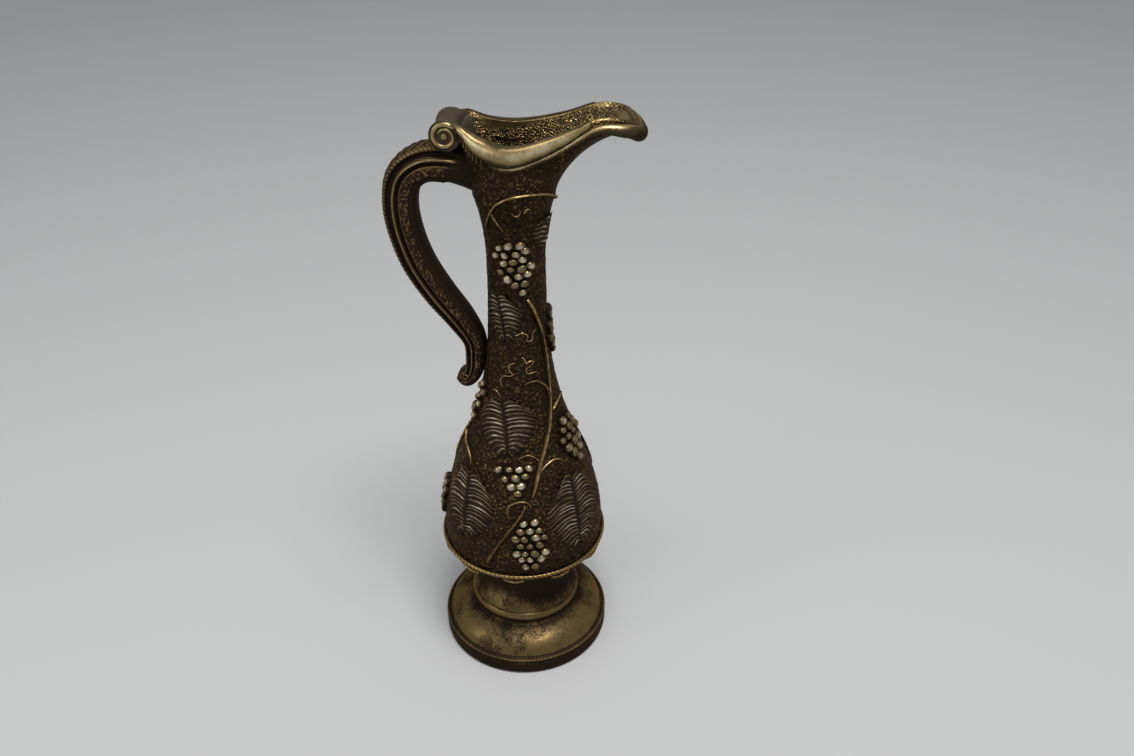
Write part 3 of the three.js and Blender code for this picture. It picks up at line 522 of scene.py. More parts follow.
@dataclass
class Vessel:
    """Bowl, belly and neck with their hammered, stippled ground."""

    steps: int = 216
    row: float = 3.4
    bore_steps: int = 72
    bore_rows: int = 20
    inset: float = 0.4
    hammer: float = 0.55
    dent_relief: float = 0.16
    ground: float = 0.4
    bowl_steps: int = 144
    bowl_rows: int = 24
    bowl_shaded_relief: float = 0.3
    bowl_seat_radius: float = 62
    bowl_seat_z: float = 138
    bowl_floor: float = 8
    bowl_spigot: float = 8
    plug_radius: float = 44
    plug_depth: float = 10

    def hammered(self, work: Casting) -> None:
        """Presses shallow random dents into what has been turned so far."""
        for vert in work.bm.verts:
            outward = Vector((vert.co.x, vert.co.y, 0)).normalized()
            dent = noise.noise(vert.co / 9.0) + 0.6 * noise.noise(vert.co / 4.0)
            vert.co += outward * self.hammer * dent
            vert[work.relief] += self.dent_relief * dent

    def shell(self, low: float, high: float, name: str) -> None:
        """Turns one length of the wall with its inside, between two heights."""
        rows = round((high - low) / self.row)
        levels = [mix(low, high, i / rows) for i in range(rows + 1)]
        work = Casting()
        work.turned([(WALL.radius(z), z, self.ground) for z in levels], self.steps)
        self.hammered(work)
        down = [mix(high, low, i / self.bore_rows) for i in range(self.bore_rows + 1)]
        bore = [(WALL.radius(z) - WALL.thick, z) for z in down]
        top, bottom = ((WALL.radius(z) - self.inset, z) for z in (high, low))
        work.turned(hidden([top, *bore, bottom]), self.bore_steps)
        work.finish(f"{name}_cast", Slot.DARK, [GROUND], name)

    def bowl(self) -> None:
        """Turns the cup under the girdle, with its floor inside."""
        rim = WALL.radius(WALL.girdle_z)
        seat = Vector((self.bowl_seat_radius, self.bowl_seat_z))
        via = Vector((mix(seat.x, rim, 0.86), mix(seat.y, WALL.girdle_z, 0.36)))
        outside = []
        for i in range(self.bowl_rows + 1):
            t = i / self.bowl_rows
            point = seat * (1 - t) ** 2 + via * 2 * t * (1 - t) + Vector((rim, WALL.girdle_z)) * t * t
            # Low relief over the bowl's outside: painted shade under the girdle.
            outside.append((point.x, point.y, self.bowl_shaded_relief))
        inner = rim - WALL.thick
        floor = self.bowl_seat_z + self.bowl_floor
        under = self.bowl_seat_z - self.plug_depth
        plug = [(0.0, under), (self.plug_radius, under), (self.plug_radius, self.bowl_seat_z)]
        inside = [(inner, WALL.girdle_z), (inner, WALL.girdle_z + self.bowl_spigot),
                  (inner - 4, mix(floor, WALL.girdle_z, 0.5)), (inner - 16, mix(floor, WALL.girdle_z, 0.2)),
                  (self.bowl_seat_radius - 18, floor), (0.0, floor)]
        work = Casting()
        work.turned([*hidden(plug), *outside, *hidden(inside)], self.bowl_steps)
        work.finish("bowl_cast", Slot.DARK, [BOWL_PAINTED_SHADE], "bowl")

    def build(self) -> None:
        """Makes the three turned lengths of the vessel."""
        self.bowl()
        self.shell(WALL.girdle_z, WALL.shoulder_z, "belly")
        self.shell(WALL.shoulder_z, WALL.top_z, "neck")


@dataclass
class Foot:
    """Turned foot: plain upright edge, milled bead, dome, half-round knop and waisted stem."""

    rim_radius: float = 123
    rim_height: float = 12.5
    felt: float = -8
    bead_radius: float = 2.1
    bead_z: float = 15.6
    teeth: int = 220
    groove_radius: float = 118
    groove_z: float = 18.6
    shoulder_radius: float = 81.5
    shoulder_z: float = 47.5
    knop_radius: float = 81
    knop_depth: float = 8
    knop_z: float = 60
    knop_half: float = 8.5
    stem_bottom: float = 77.5
    stem_radius: float = 55
    stem_z: float = 114
    seat_radius: float = 62
    seat_z: float = 138
    steps: int = 180
    dome_rows: int = 24
    knop_rows: int = 16
    stem_rows: int = 32

    def profile(self) -> list[tuple[float, float, float]]:
        """Outline from the floor up the outside, across the top and down the hollow inside."""
        rim, groove = self.rim_radius, self.groove_radius
        line = [
            (rim - 1.8, self.felt, 0.05), (rim - 0.4, self.felt + 1.4, 0.05),
            (rim, self.felt + 3.5, 0.08), (rim, 3.0, 0.1), (rim - 0.2, self.rim_height - 1.2, 0.3),
            (rim - 1.2, self.rim_height, 0.1), (rim - 2.6, self.rim_height + 1.6, 0.0),
            (groove + 1.4, self.groove_z - 1, 0.35), (groove, self.groove_z - 1.6, 0.02),
            (groove - 1.2, self.groove_z, 0.3),
        ]
        dome = [Vector(point) for point in (
            (groove - 1.2, self.groove_z), (112.4, 28.2), (104.1, 36.4), (94.2, 42.6), (87, 45.9),
            (self.shoulder_radius, self.shoulder_z))]
        for share in (i / self.dome_rows for i in range(1, self.dome_rows + 1)):
            line.append((*catmull(dome, share), mix(0.6, 0.4, share)))
        for share in (i / self.knop_rows for i in range(self.knop_rows + 1)):
            turn = mix(-math.pi / 2, math.pi / 2, share)
            out = self.knop_depth * math.cos(turn) * 0.999
            line.append((self.knop_radius - self.knop_depth + out,
                         self.knop_z + self.knop_half * math.sin(turn),
                         0.75 * math.cos(turn * 0.9) ** 0.7))
        bell = [Vector(point) for point in (
            (self.stem_bottom, 68.6), (77.0, 72.0), (71.5, 79), (63.5, 88), (57.5, 100),
            (self.stem_radius, self.stem_z), (56.5, 127), (self.seat_radius, self.seat_z))]
        for share in (i / self.stem_rows for i in range(self.stem_rows + 1)):
            # Relief falls from the knop up to the bowl's seat: painted shade under the bowl, darkest at the
            # top of the stem.
            relief = mix(0.55, 0.2, ease(0.1, 0.6, share)) if share else 0.15
            line.append((*catmull(bell, share), relief))
        hollow = [(44.3, self.seat_z), (44.3, 126), (49, 110), (53, 87), (71.5, 62.5), (75.5, 41.5),
                  (112, 12.5), (rim - 7.5, self.felt), (rim - 1.8, self.felt)]
        return line + hidden(hollow)

    def build(self) -> None:
        """Turns the foot and lays the milled bead round its edge."""
        work = Casting()
        work.turned(self.profile(), self.steps)

        def bead(u: float, v: float) -> Spot:
            """Point of the toothed bead, u round its section and v round the foot."""
            section, turn = u * math.tau, v * math.tau
            tooth = 0.5 + 0.5 * math.cos(turn * self.teeth)
            reach = self.bead_radius * mix(0.72, 1.0, tooth)
            radius = self.rim_radius - 1.5 + reach * math.cos(section)
            z = self.bead_z + reach * math.sin(section)
            return polar(radius, turn, z), mix(0.1, 0.85, tooth)

        work.tube(8, self.teeth * 4, bead)
        work.finish("foot_turned", Slot.GOLD, [FOOT_GOLD], "foot")


# Mouth

@dataclass
class Mouth:
    """Boat-shaped mouth: its rim curve, shell, rolls, bead and tabs."""

    lip_wall: float = 4.5
    flare: float = 0.78
    band: float = 20
    tip_band: float = 9
    tip_span: float = 0.07
    steps: int = 168
    roll_from: float = 0.425
    roll_to: float = 0.135
    roll_height: float = 24.5
    roll_end: float = 8
    roll_proud: float = 10
    roll_end_proud: float = 4
    rim_round: float = 2.2
    rim_sink: float = 0.6
    saddle_span: float = 0.075
    saddle_drop: float = 12
    saddle_reach: float = 13
    saddle_rise: float = 1.5
    tip_reach: float = 5
    tip_rise: float = 3
    ground: float = 0.38
    bead_from: float = 0.3
    bead_radius: float = 3.2
    nose_radius: float = 10
    nose_span: float = 0.115
    bead_reach: float = 0.35
    tab_count: int = 6
    tab_from: float = 0.402
    tab_to: float = 0.315
    tab_share: float = 0.66  # width of a tab in its pitch
    wall_share: float = 0.4  # how far the outside, the band, the ground's paint and the rim reach
    band_share: float = 0.46
    ground_share: float = 0.44
    rim_share: float = 0.54
    rows: int = 110
    bare_relief: float = 0.12

    def __post_init__(self) -> None:
        """Lays out the rim's control points, round both sides."""
        shares = [
            (2.78, 0, 89.5), (2.56, 0.4, 101.5), (1.98, 0.535, 104), (1.11, 0.71, 87), (0.12, 0.86, 74.5),
            (-0.535, 0.7, 78.5), (-0.91, 0.57, 86.5), (-1.15, 0.44, 92), (-1.21, 0, 93.5),
        ]
        top = WALL.top_radius
        half = [Vector((reach * top, side * top, WALL.top_z + rise)) for reach, side, rise in shares]
        self.rim = half + [Vector((x, -y, z)) for x, y, z in half[-2:0:-1]]

    def rim_point(self, share: float, out: float) -> Vector:
        """Point of the rim at a share of the way round from the tip, pushed outwards in plan."""
        share %= 1
        point = catmull(self.rim, share, closed=True)
        ahead = catmull(self.rim, (share + 0.001) % 1, closed=True)
        behind = catmull(self.rim, (share - 0.001) % 1, closed=True)
        tangent = ahead - behind
        length = math.hypot(tangent.x, tangent.y)
        return point + Vector((tangent.y / length * out, -tangent.x / length * out, 0))

    def band_drop(self, share: float) -> float:
        """Height of the band under the rim, less at the spout's tip."""
        return mix(self.band, self.tip_band, math.exp(-(min(share, 1 - share) / self.tip_span) ** 2))

    def wall_point(self, share: float, rise: float, neck_radius: float, out: float, drop: float) -> Vector:
        """Point of the mouth's wall between the neck's circle (rise 0) and the rim (rise 1)."""
        across = (1 - math.cos(rise * math.pi / 2)) ** self.flare
        up = math.sin(rise * math.pi / 2)
        turn = share * math.tau
        rim = self.rim_point(share, out)
        return Vector((mix(neck_radius * math.cos(turn), rim.x, across),
                       mix(neck_radius * math.sin(turn), rim.y, across),
                       mix(WALL.top_z, rim.z - drop, up)))

    def back_surface(self) -> BVHTree:
        """Outside of neck and mouth on the handle's side, for measuring how deep a point lies in it."""
        columns, rows = 40, 30
        verts = []
        for j in range(rows + 1):
            for i in range(columns + 1):
                turn = mix(0.3, 0.7, i / columns)
                if j < 8:
                    verts.append(WALL.point(turn * 360, mix(640, WALL.top_z, j / 8), 0))
                else:
                    verts.append(self.wall_point(turn, (j - 8) / (rows - 8), WALL.top_radius, self.lip_wall,
                                                 self.band_drop(turn)))
        wide = columns + 1
        quads = [(k, k + 1, k + 1 + wide, k + wide)
                 for k in (j * wide + i for j in range(rows) for i in range(columns))]
        return BVHTree.FromPolygons(verts, quads)

    def shell(self) -> None:
        """Makes the mouth's wall: up the outside, over the rim and down the stippled inside."""
        bore = WALL.top_radius - WALL.thick

        def place(u: float, v: float) -> Spot:
            """Point for a share u round the mouth and v over its wall."""
            saddle = math.exp(-((u - 0.5) / self.saddle_span) ** 2)
            tip = math.exp(-(min(u, 1 - u) / 0.08) ** 2)
            dull = ease(0.05, 0.75, tip)
            inner_drop = mix(self.rim_round, self.saddle_drop, saddle)
            if v < self.wall_share:
                rise = v / self.wall_share
                point = self.wall_point(u, rise, WALL.top_radius, self.lip_wall, self.band_drop(u))
                return point, self.ground
            if v < self.band_share:
                over = (v - self.wall_share) / (self.band_share - self.wall_share)
                drop = mix(self.band_drop(u), self.rim_round, over)
                return self.wall_point(u, 1, 0, self.lip_wall, drop), 0.45
            if v <= self.rim_share:
                turn = (v - self.band_share) / (self.rim_share - self.band_share) * math.pi
                half = (self.lip_wall + self.saddle_reach * saddle + self.tip_reach * tip) / 2
                point = self.rim_point(u, half + half * math.cos(turn))
                drop = self.rim_round if turn < math.pi / 2 else inner_drop
                point.z -= drop * (1 - math.sin(turn)) + self.rim_sink
                point.z += (self.tip_rise * tip + self.saddle_rise * saddle) * math.sin(turn)
                return point, mix(mix(0.76, self.bare_relief, dull), self.bare_relief, saddle)
            rise = 1 - (v - self.rim_share) / (1 - self.rim_share)
            point = self.wall_point(u, rise, bore, 0, inner_drop + self.rim_sink)
            bare = max(saddle, math.exp(-((u - 0.5) / 0.09) ** 2) * ease(0.3, 0.8, rise))
            along = ease(0.42, 0.12, min(u, 1 - u))
            smooth = ease(mix(0.42, 0.68, along), mix(0.66, 0.98, along), rise)
            gilt = mix(0.48, mix(0.8, self.bare_relief, dull), smooth)
            return point, mix(gilt, self.bare_relief, bare)

        def paint(u: float, v: float) -> int:
            """The neck's ground outside, bare brown on the saddle, the lining over the rim and inside."""
            if v < self.ground_share:
                return 1
            return 2 if abs(u - 0.5) < self.saddle_span else 0

        work = Casting()
        work.sheet(self.steps, self.rows, place, paint)
        work.face_out()
        for vert in work.bm.verts:
            if vert[work.relief] == self.ground:
                vert[work.relief] += 0.2 * noise.noise(vert.co / 9.0)
        work.finish("mouth_cast", Slot.DARK, [LINING, GROUND, SADDLE_BROWN], "mouth")

    def swell(self, share: float) -> float:
        """How far the roll swells below the rim, 0 at its ends and 1 in the middle."""
        along = (share - self.roll_to) / (self.roll_from - self.roll_to)
        return math.sin(along * math.pi) if 0 < along < 1 else 0.0

    def hang(self, share: float) -> float:
        """Height of the roll below the rim."""
        return mix(self.roll_end, self.roll_height, self.swell(share) ** 1.2)

    def rolls(self) -> None:
        """Makes the fat crescent roll on each side."""
        for side, mirror in SIDES:
            work = Casting()

            def place(u: float, v: float) -> Spot:
                """Point for a share u over the roll's section and v along it."""
                share = mix(self.roll_to, self.roll_from, v)
                close = 0.0 if v in (0.0, 1.0) else 1.0
                turn = mix(-0.12, 1.12, u) * math.pi
                proud = mix(self.roll_end_proud, self.roll_proud, self.swell(share)) * close
                out = math.sin(turn)
                out = math.copysign(abs(out) ** 0.75, out) * proud
                point = self.rim_point(share, self.lip_wall + out)
                point.z += mix(0.6, -self.hang(share), (1 - math.cos(turn)) / 2)
                # Relief peaks in a band just above the roll's mid-height and falls above and below it: rubbed
                # gold on the proud crest, with a painted highlight band and painted shade on the lower part.
                crest = math.exp(-((turn / math.pi - 0.42) / 0.24) ** 2)
                return point, 0.28 + 0.7 * crest * (0.55 + 0.45 * self.swell(share))

            work.sheet(28, 72, place)
            work.face_out()
            work.finish(f"lip_roll_{side}_cast", Slot.GOLD, [TRIM_GOLD], f"lip_roll_{side}", mirror=mirror)

    def bead(self) -> None:
        """Makes the thin bead under the rolls, swelling into the rolled nose of the spout."""
        work = Casting()

        def place(u: float, v: float) -> Spot:
            """Point for a share u round the bead's section and v along it."""
            signed = mix(-self.bead_from, self.bead_from, v)
            share = abs(signed)
            nose = math.exp(-(share / self.nose_span) ** 2)
            radius = mix(self.bead_radius, self.nose_radius, nose)
            hang = self.hang(share) if share > self.roll_to else self.roll_end * share / self.roll_to
            end = min(1.0, (self.bead_from - share) / 0.02) ** 0.5
            turn = u * math.tau
            centre = self.lip_wall + self.bead_reach * radius
            point = self.rim_point(signed, centre + radius * end * math.cos(turn))
            point.z += radius * end * math.sin(turn) - hang - radius + 0.3
            # Relief peaks on the bead's upper outer side and stays low underneath, darkest under the spout's
            # nose: rubbed gold on the crest, with a painted highlight on the upper side and painted shade on
            # the underside.
            crest = math.exp(-((turn - mix(0.6, 1.5, nose)) / mix(0.9, 0.42, nose)) ** 2)
            return point, -0.1 + 0.43 * (1 - nose) + 0.6 * crest * ease(0, 0.06, self.bead_from - share)

        work.tube(20, 180, place)
        work.finish("lip_bead_cast", Slot.GOLD, [TRIM_GOLD], "lip_bead")

    def tabs(self) -> None:
        """Makes the row of small grooved tabs that hangs at the root of each roll."""
        pitch = (self.tab_from - self.tab_to) / self.tab_count
        for side, mirror in SIDES:
            work = Casting()
            for i in range(self.tab_count):
                start = self.tab_to + pitch * (i + (1 - self.tab_share) / 2)

                def place(u: float, v: float, start: float = start) -> Spot:
                    """Point for a share u over the tab's width and v down it."""
                    share = start + pitch * self.tab_share * u
                    edge = min(1.0, 5 * min(u, 1 - u), 5 * min(v + 0.2, 1 - v))
                    groove = 0.9 * math.exp(-((u - 0.5) / 0.13) ** 2)
                    point = self.rim_point(share, self.lip_wall - 1 + 4 * max(0.0, edge) ** 0.5 - groove)
                    point.z -= self.hang(share) - 0.5 + 11.5 * v
                    outline = math.exp(-((min(u, 1 - u, 1 - v) - 0.14) / 0.1) ** 2)
                    return point, 0.95 * outline - 0.1

                work.sheet(10, 12, place, flip=True)
            work.face_out()
            work.finish(f"lip_tabs_{side}_cast", Slot.GOLD, [TRIM_GOLD], f"lip_tabs_{side}", mirror=mirror)

    def build(self) -> None:
        """Makes the mouth and its trim."""
        self.shell()
        self.rolls()
        self.bead()
        self.tabs()


@dataclass
class CrossRoll:
    """Roll across the back of the mouth, with a curled ridge round an eye on each end."""

    x: float = -76.1
    z: float = 781
    radius: float = 19
    half: float = 25.5
    waist: float = 2.5
    crest: float = 15.8
    end_crest: float = 7.6
    ridge: float = 3.3
    end_ridge: float = 1.9
    turn_from: float = 0.1
    turn_to: float = 1.45
    eye: float = 4.8
    domed: float = 0.5
    proud: float = 3.4
    steps: int = 72

    def build(self) -> None:
        """Spins the roll and lays a curled ridge and a domed eye on both ends."""
        work = Casting()
        profile = [(0.0, -self.half, 0.1)]
        profile += [(r, -self.half + 0.6 * math.sin(r / self.radius), 0.1) for r in (8.0, 14.0, 18.0)]
        for i in range(25):
            y = mix(-self.half, self.half, i / 24)
            middle = max(0.0, 1 - (y / self.half) ** 2)
            edge = min(1.0, (self.half - abs(y)) / 1.6)
            profile.append((self.radius - self.waist * middle ** 2 - 1.2 * (1 - edge) ** 2, y, 0.45))
        profile += [(r, self.half, 0.1) for r in (18.0, 14.0, 8.0, 0.0)]
        work.turned(profile, self.steps)
        bmesh.ops.rotate(work.bm, matrix=Matrix.Rotation(math.radians(-90), 3, "X"), verts=work.bm.verts[:])
        bmesh.ops.translate(work.bm, vec=(self.x, 0, self.z), verts=work.bm.verts[:])
        work.finish("scroll_roll_cast", Slot.GOLD, [SADDLE_BROWN], "scroll_roll")
        centre = Vector((self.x, self.half, self.z))
        for side, mirror in SIDES:
            work = Casting()

            def place(u: float, v: float) -> Spot:
                """Point for a share u round the ridge's section and v along its curl."""
                turn = mix(self.turn_from, self.turn_to, v) * math.tau
                reach = mix(self.crest, self.end_crest, v)
                ridge = mix(self.ridge, self.end_ridge, v) * min(1.0, v / 0.05, (1 - v) / 0.12) ** 0.5
                outward = Vector((math.cos(turn), 0, math.sin(turn)))
                around = u * math.tau
                lift = self.proud / self.ridge * ridge * math.sin(around)
                return (centre + outward * (reach + ridge * math.cos(around)) + Vector((0, lift, 0)),
                        0.08 + 0.62 * max(0.0, math.sin(around)))

            work.tube(16, 150, place)
            axes = Matrix(((1, 0, 0), (0, 0, 1), (0, -1, 0)))
            work.ball(centre, axes, Vector((self.eye, self.eye, self.eye * self.domed)), 0.6)
            work.face_out()
            work.finish(f"volute_{side}_cast", Slot.GOLD, [TRIM_GOLD], f"volute_{side}", mirror=mirror)


# Handle

@dataclass
class Handle:
    """Moulded handle with its scalloped leaf."""

    steps: int = 300
    around: int = 96
    foot_z: float = 434
    above_neck: float = 36
    plain_to: float = 0.115
    sunk: float = 2
    hatch_length: float = 560
    hatch_rise: float = 0.35
    hatch_tone: float = 0.22
    pit_depth: float = 0.8
    pit_tone: float = 0.7
    leaf_from: float = 0.14
    leaf_to: float = 0.35
    leaf_half: float = 14.5
    leaf_scallops: int = 5
    surface: BVHTree | None = None

    def __post_init__(self) -> None:
        """Lays out the centre line and the moulded section."""
        bar = [
            (-34, 0.956, 54, 42), (-56, 0.981, 51, 42), (-82, 1, 50, 42), (-110, 0.99, 46, 42),
            (-132, 0.932, 44, 41), (-140, 0.834, 43, 40), (-137, 0.71, 42, 40), (-124, 0.567, 41, 40),
            (-101, 0.43, 39, 39), (-75, 0.309, 35, 37), (-58, 0.205, 29, 34), (-57, 0.111, 27, 31),
            (-61, 0.039, 24, 30), (-71, 0, 22, 30), (-80, 0.023, 15, 30),
        ]
        top = WALL.top_z + self.above_neck
        self.stations = [Vector((x, mix(self.foot_z, top, rise), depth, width))
                         for x, rise, depth, width in bar]
        side = [
            (0.5, 0.0, 0.35), (0.495, 0.22, 0.4), (0.47, 0.36, 0.62), (0.4, 0.41, 0.5), (0.34, 0.33, 0.1),
            (0.27, 0.31, 0.1), (0.22, 0.42, 0.6), (0.17, 0.5, 0.9), (0.125, 0.46, 0.6), (0.09, 0.36, 0.08),
            (0.04, 0.36, 0.08), (0.0, 0.45, 0.6), (-0.05, 0.46, 0.42), (-0.15, 0.455, 0.4),
            (-0.27, 0.44, 0.4), (-0.31, 0.40, 0.25), (-0.4, 0.36, 0.2), (-0.47, 0.24, 0.15),
            (-0.5, 0.0, 0.1),
        ]
        self.section = [Vector(p) for p in side] + [Vector((d, -h, r)) for d, h, r in side[-2:0:-1]]

    def frame(self, share: float) -> tuple[Vector, Vector, Vector]:
        """Centre, outward direction, and (depth, width) at a share of the handle's length."""
        here = catmull(self.stations, share)
        ahead = catmull(self.stations, min(1.0, share + 0.002))
        way = ahead - catmull(self.stations, max(0.0, share - 0.002))
        outward = Vector((way.y, 0, -way.x)).normalized()
        place = share * (len(self.stations) - 1)
        index = min(math.floor(place), len(self.stations) - 2)
        part = place - index
        size = self.stations[index].lerp(self.stations[index + 1], part)
        return Vector((here.x, 0, here.y)), outward, Vector((size.z, size.w))

    def section_point(self, u: float, v: float) -> tuple[Vector, Vector, Vector, Vector]:
        """Point of the bar, its outward direction, its place in the section and the size there."""
        centre, outward, size = self.frame(v)
        shape = catmull(self.section, u % 1, closed=True)
        turn = math.atan2(shape.y, shape.x)
        plain = Vector((0.49 * math.cos(turn), 0.47 * math.sin(turn), 0.16))
        reach = 0.5 + 0.5 * math.cos((shape.x - 0.17) / 0.4 * math.pi) if abs(shape.x - 0.17) < 0.4 else 0.0
        fade = ease(self.plain_to + 0.03, self.plain_to - 0.05 * reach, v)
        shape = shape.lerp(plain, fade)
        return centre + outward * shape.x * size.x + Vector((0, shape.y * size.y, 0)), outward, shape, size

    def entry(self, u: float) -> float:
        """Share of the length at which one line of the bar has sunk just into the mouth's wall."""
        v = self.plain_to
        while v > 0:
            point = self.section_point(u, v)[0]
            near, normal, _, _ = self.surface.find_nearest(point)
            inward = Vector((-near.x, -near.y, 0)).normalized()
            if (point - near).dot(normal if normal.dot(inward) > 0 else -normal) > self.sunk:
                return v
            v -= 0.001
        return 0.0

    def bar(self) -> None:
        """Sweeps the moulded section along the handle."""
        work = Casting()
        entries = [self.entry(i / self.around) for i in range(self.around)]

        def place(u: float, v: float) -> Spot:
            """Point for a share u round the section and v along the bar."""
            v = mix(entries[round(u * self.around) % self.around], 1, v)
            point, outward, shape, size = self.section_point(u, v)
            depth, half, relief = shape
            length = v * self.hatch_length
            if -0.28 < depth < -0.03 and abs(half) > 0.4:
                pits = noise.noise(point / 2.6)
                point += Vector((0, math.copysign(self.pit_depth * pits, half), 0))
                relief += self.pit_tone * pits
            elif depth > 0.36 and v > self.plain_to:
                hatch = math.sin(length * 1.15 + abs(half) * size.y * 0.9)
                point += outward * self.hatch_rise * hatch
                relief += self.hatch_tone * hatch
            return point, relief

        work.sheet(self.around, self.steps, place)
        bmesh.ops.holes_fill(work.bm, edges=[edge for edge in work.bm.edges if edge.is_boundary], sides=0)
        work.face_out()
        work.finish("handle_cast", Slot.GOLD, [HANDLE_PAINT], "handle")

    def leaf(self) -> None:
        """Lays the scalloped, hatched leaf on the back of the handle below the cross roll."""
        work = Casting()

        def place(u: float, v: float) -> Spot:
            """Point for a share u across the leaf and v along it."""
            centre, outward, size = self.frame(mix(self.leaf_from, self.leaf_to, v))
            side = 2 * u - 1
            scallop = 0.82 + 0.18 * abs(math.sin(v * math.pi * self.leaf_scallops))
            half = self.leaf_half * scallop * math.sin(math.pi * mix(0.16, 0.97, v)) ** 0.6
            vein = 0.5 + 0.5 * math.cos(v * 62 - abs(side) * 7)
            edge = min(1.0, 6 * (1 - abs(side)))
            rise = (2.0 - 0.7 * side * side + 0.7 * vein - 1.0 * math.exp(-(side / 0.1) ** 2)) * edge
            lift = size.x / 2 + rise - 0.6 - 1.6 * side * side
            point = centre + outward * lift + Vector((0, side * half, 0))
            return point, 0.1 + 0.55 * vein * edge + 0.2 * (1 - edge)

        work.sheet(26, 110, place, flip=True)
        work.face_out()
        work.finish("handle_leaf_cast", Slot.GOLD, [HANDLE_PAINT], "handle_leaf")

    def build(self) -> None:
        """Makes the bar and its leaf."""
        self.bar()
        self.leaf()


# Grapevine

@dataclass
class Girdle:
    """Cord over the seam of bowl and belly, with a thinner strand of vine looping under it."""

    waves: int = 11
    strand: float = 3.8
    sway: float = 4.6
    cord_rise: float = 1.9
    loop_rise: float = -3.2
    loop_share: float = 0.72  # thickness of the looping strand in that of the cord

    def build(self) -> None:
        """Lays the cord and the strand round the vessel."""
        work = Casting()
        centre = WALL.radius(WALL.girdle_z) + 2
        strands = ((0, self.cord_rise, self.strand), (1, self.loop_rise, self.strand * self.loop_share))
        for swing, rise, strand in strands:

            def place(u: float, v: float, swing: float = swing, rise: float = rise,
                      strand: float = strand) -> Spot:
                """Point for a share u round the strand and v round the vessel."""
                turn = v * math.tau
                dip = swing * math.sin(turn * self.waves)
                around = u * math.tau
                bark = math.sin(around * 2 + turn * 110)
                radius = centre + 0.8 * (1 - swing) + strand * 0.66 * math.cos(around) + 0.25 * bark
                z = WALL.girdle_z + rise - self.sway * dip + strand * 0.8 * math.sin(around)
                # Relief peaks on the strand's upper outer side: rubbed gold with a painted highlight. The
                # looping strand is darkened where it runs up under the cord and keeps its gold only at the
                # dips: painted shade under the cord.
                rub_and_painted_light = 0.22 + 0.66 * max(0.0, math.cos(around - 0.6)) + 0.24 * bark
                return polar(radius, turn, z), rub_and_painted_light * (1 - 0.6 * swing * (dip < 0.2))

            work.tube(12, 480, place)
        work.finish("girdle_ring_cast", Slot.GOLD, [VINE_GOLD], "girdle_ring")


@dataclass(frozen=True)
class Bunch:
    """A bunch of grapes: its place on the wall and the berries in each row."""

    name: str
    angle: float
    z: float
    lean: float
    pitch: float
    rows: tuple[int, ...]
    back: float = 0


@dataclass(frozen=True)
class Leaf:
    """A leaf: its place on the wall, lean and size."""

    name: str
    angle: float
    z: float
    lean: float
    length: float
    width: float
    back: float = 0


@dataclass(frozen=True)
class Run:
    """A run of vine or tendril: width and rise at both ends, and its stations as (angle, height)."""

    width: tuple[float, float]
    rise: tuple[float, float]
    stations: tuple[tuple[float, float], ...]


def on_wall(place: Bunch | Leaf, turn: float, u: float, v: float, proud: float) -> tuple[Vector, Vector]:
    """Point and normal in a sprig's own plane.

    Args:
        place: The sprig.
        turn: Degrees that this copy is turned round the vessel.
        u: Millimetres to the right.
        v: Millimetres up.
        proud: Lift along the wall's normal.

    Returns:
        The point, and the wall's normal under it.
    """
    lean = math.radians(place.lean)
    right = u * math.cos(lean) - v * math.sin(lean)
    up = u * math.sin(lean) + v * math.cos(lean)
    z = place.z + up / math.hypot(1, WALL.slope(place.z))
    angle = place.angle + turn + math.degrees(right / WALL.radius(z))
    return WALL.point(angle, z, proud), WALL.normal(angle, z)


BUNCHES = (
    Bunch("bunch_neck", -84, 620, 13, 12.4, (3, 4, 3, 4, 3, 2, 1), 180),
    Bunch("bunch_spout_side", 8, 510, -2, 12.6, (2, 3, 2, 3, 2, 1)),
    Bunch("bunch_handle_side", -158, 415, -14, 12.4, (1, 2, 1, 2, 1, 2)),
    Bunch("bunch_right", -16, 356, 0, 14.6, (2, 3, 4, 3, 2, 1)),
    Bunch("bunch_centre", -88, 324.5, 8, 13.4, (4, 3, 2, 1)),
    Bunch("bunch_low", -78, 234, 0, 13.1, (2, 3, 4, 3, 4, 3, 2), 180),
    Bunch("bunch_left", -174, 236, 0, 13, (2, 3, 2, 3, 2, 1)),
)
LEAVES = (
    Leaf("leaf_neck", -113, 550, 10, 64, 50, 190),
    Leaf("leaf_spout_side", -20, 663, -24, 42, 46),
    Leaf("leaf_middle", -102, 395, 10, 75, 84, 180),
    Leaf("leaf_left", -131.5, 273, 8, 91, 96, 180),
    Leaf("leaf_right", -38, 262, -4, 101, 94, 180),
)
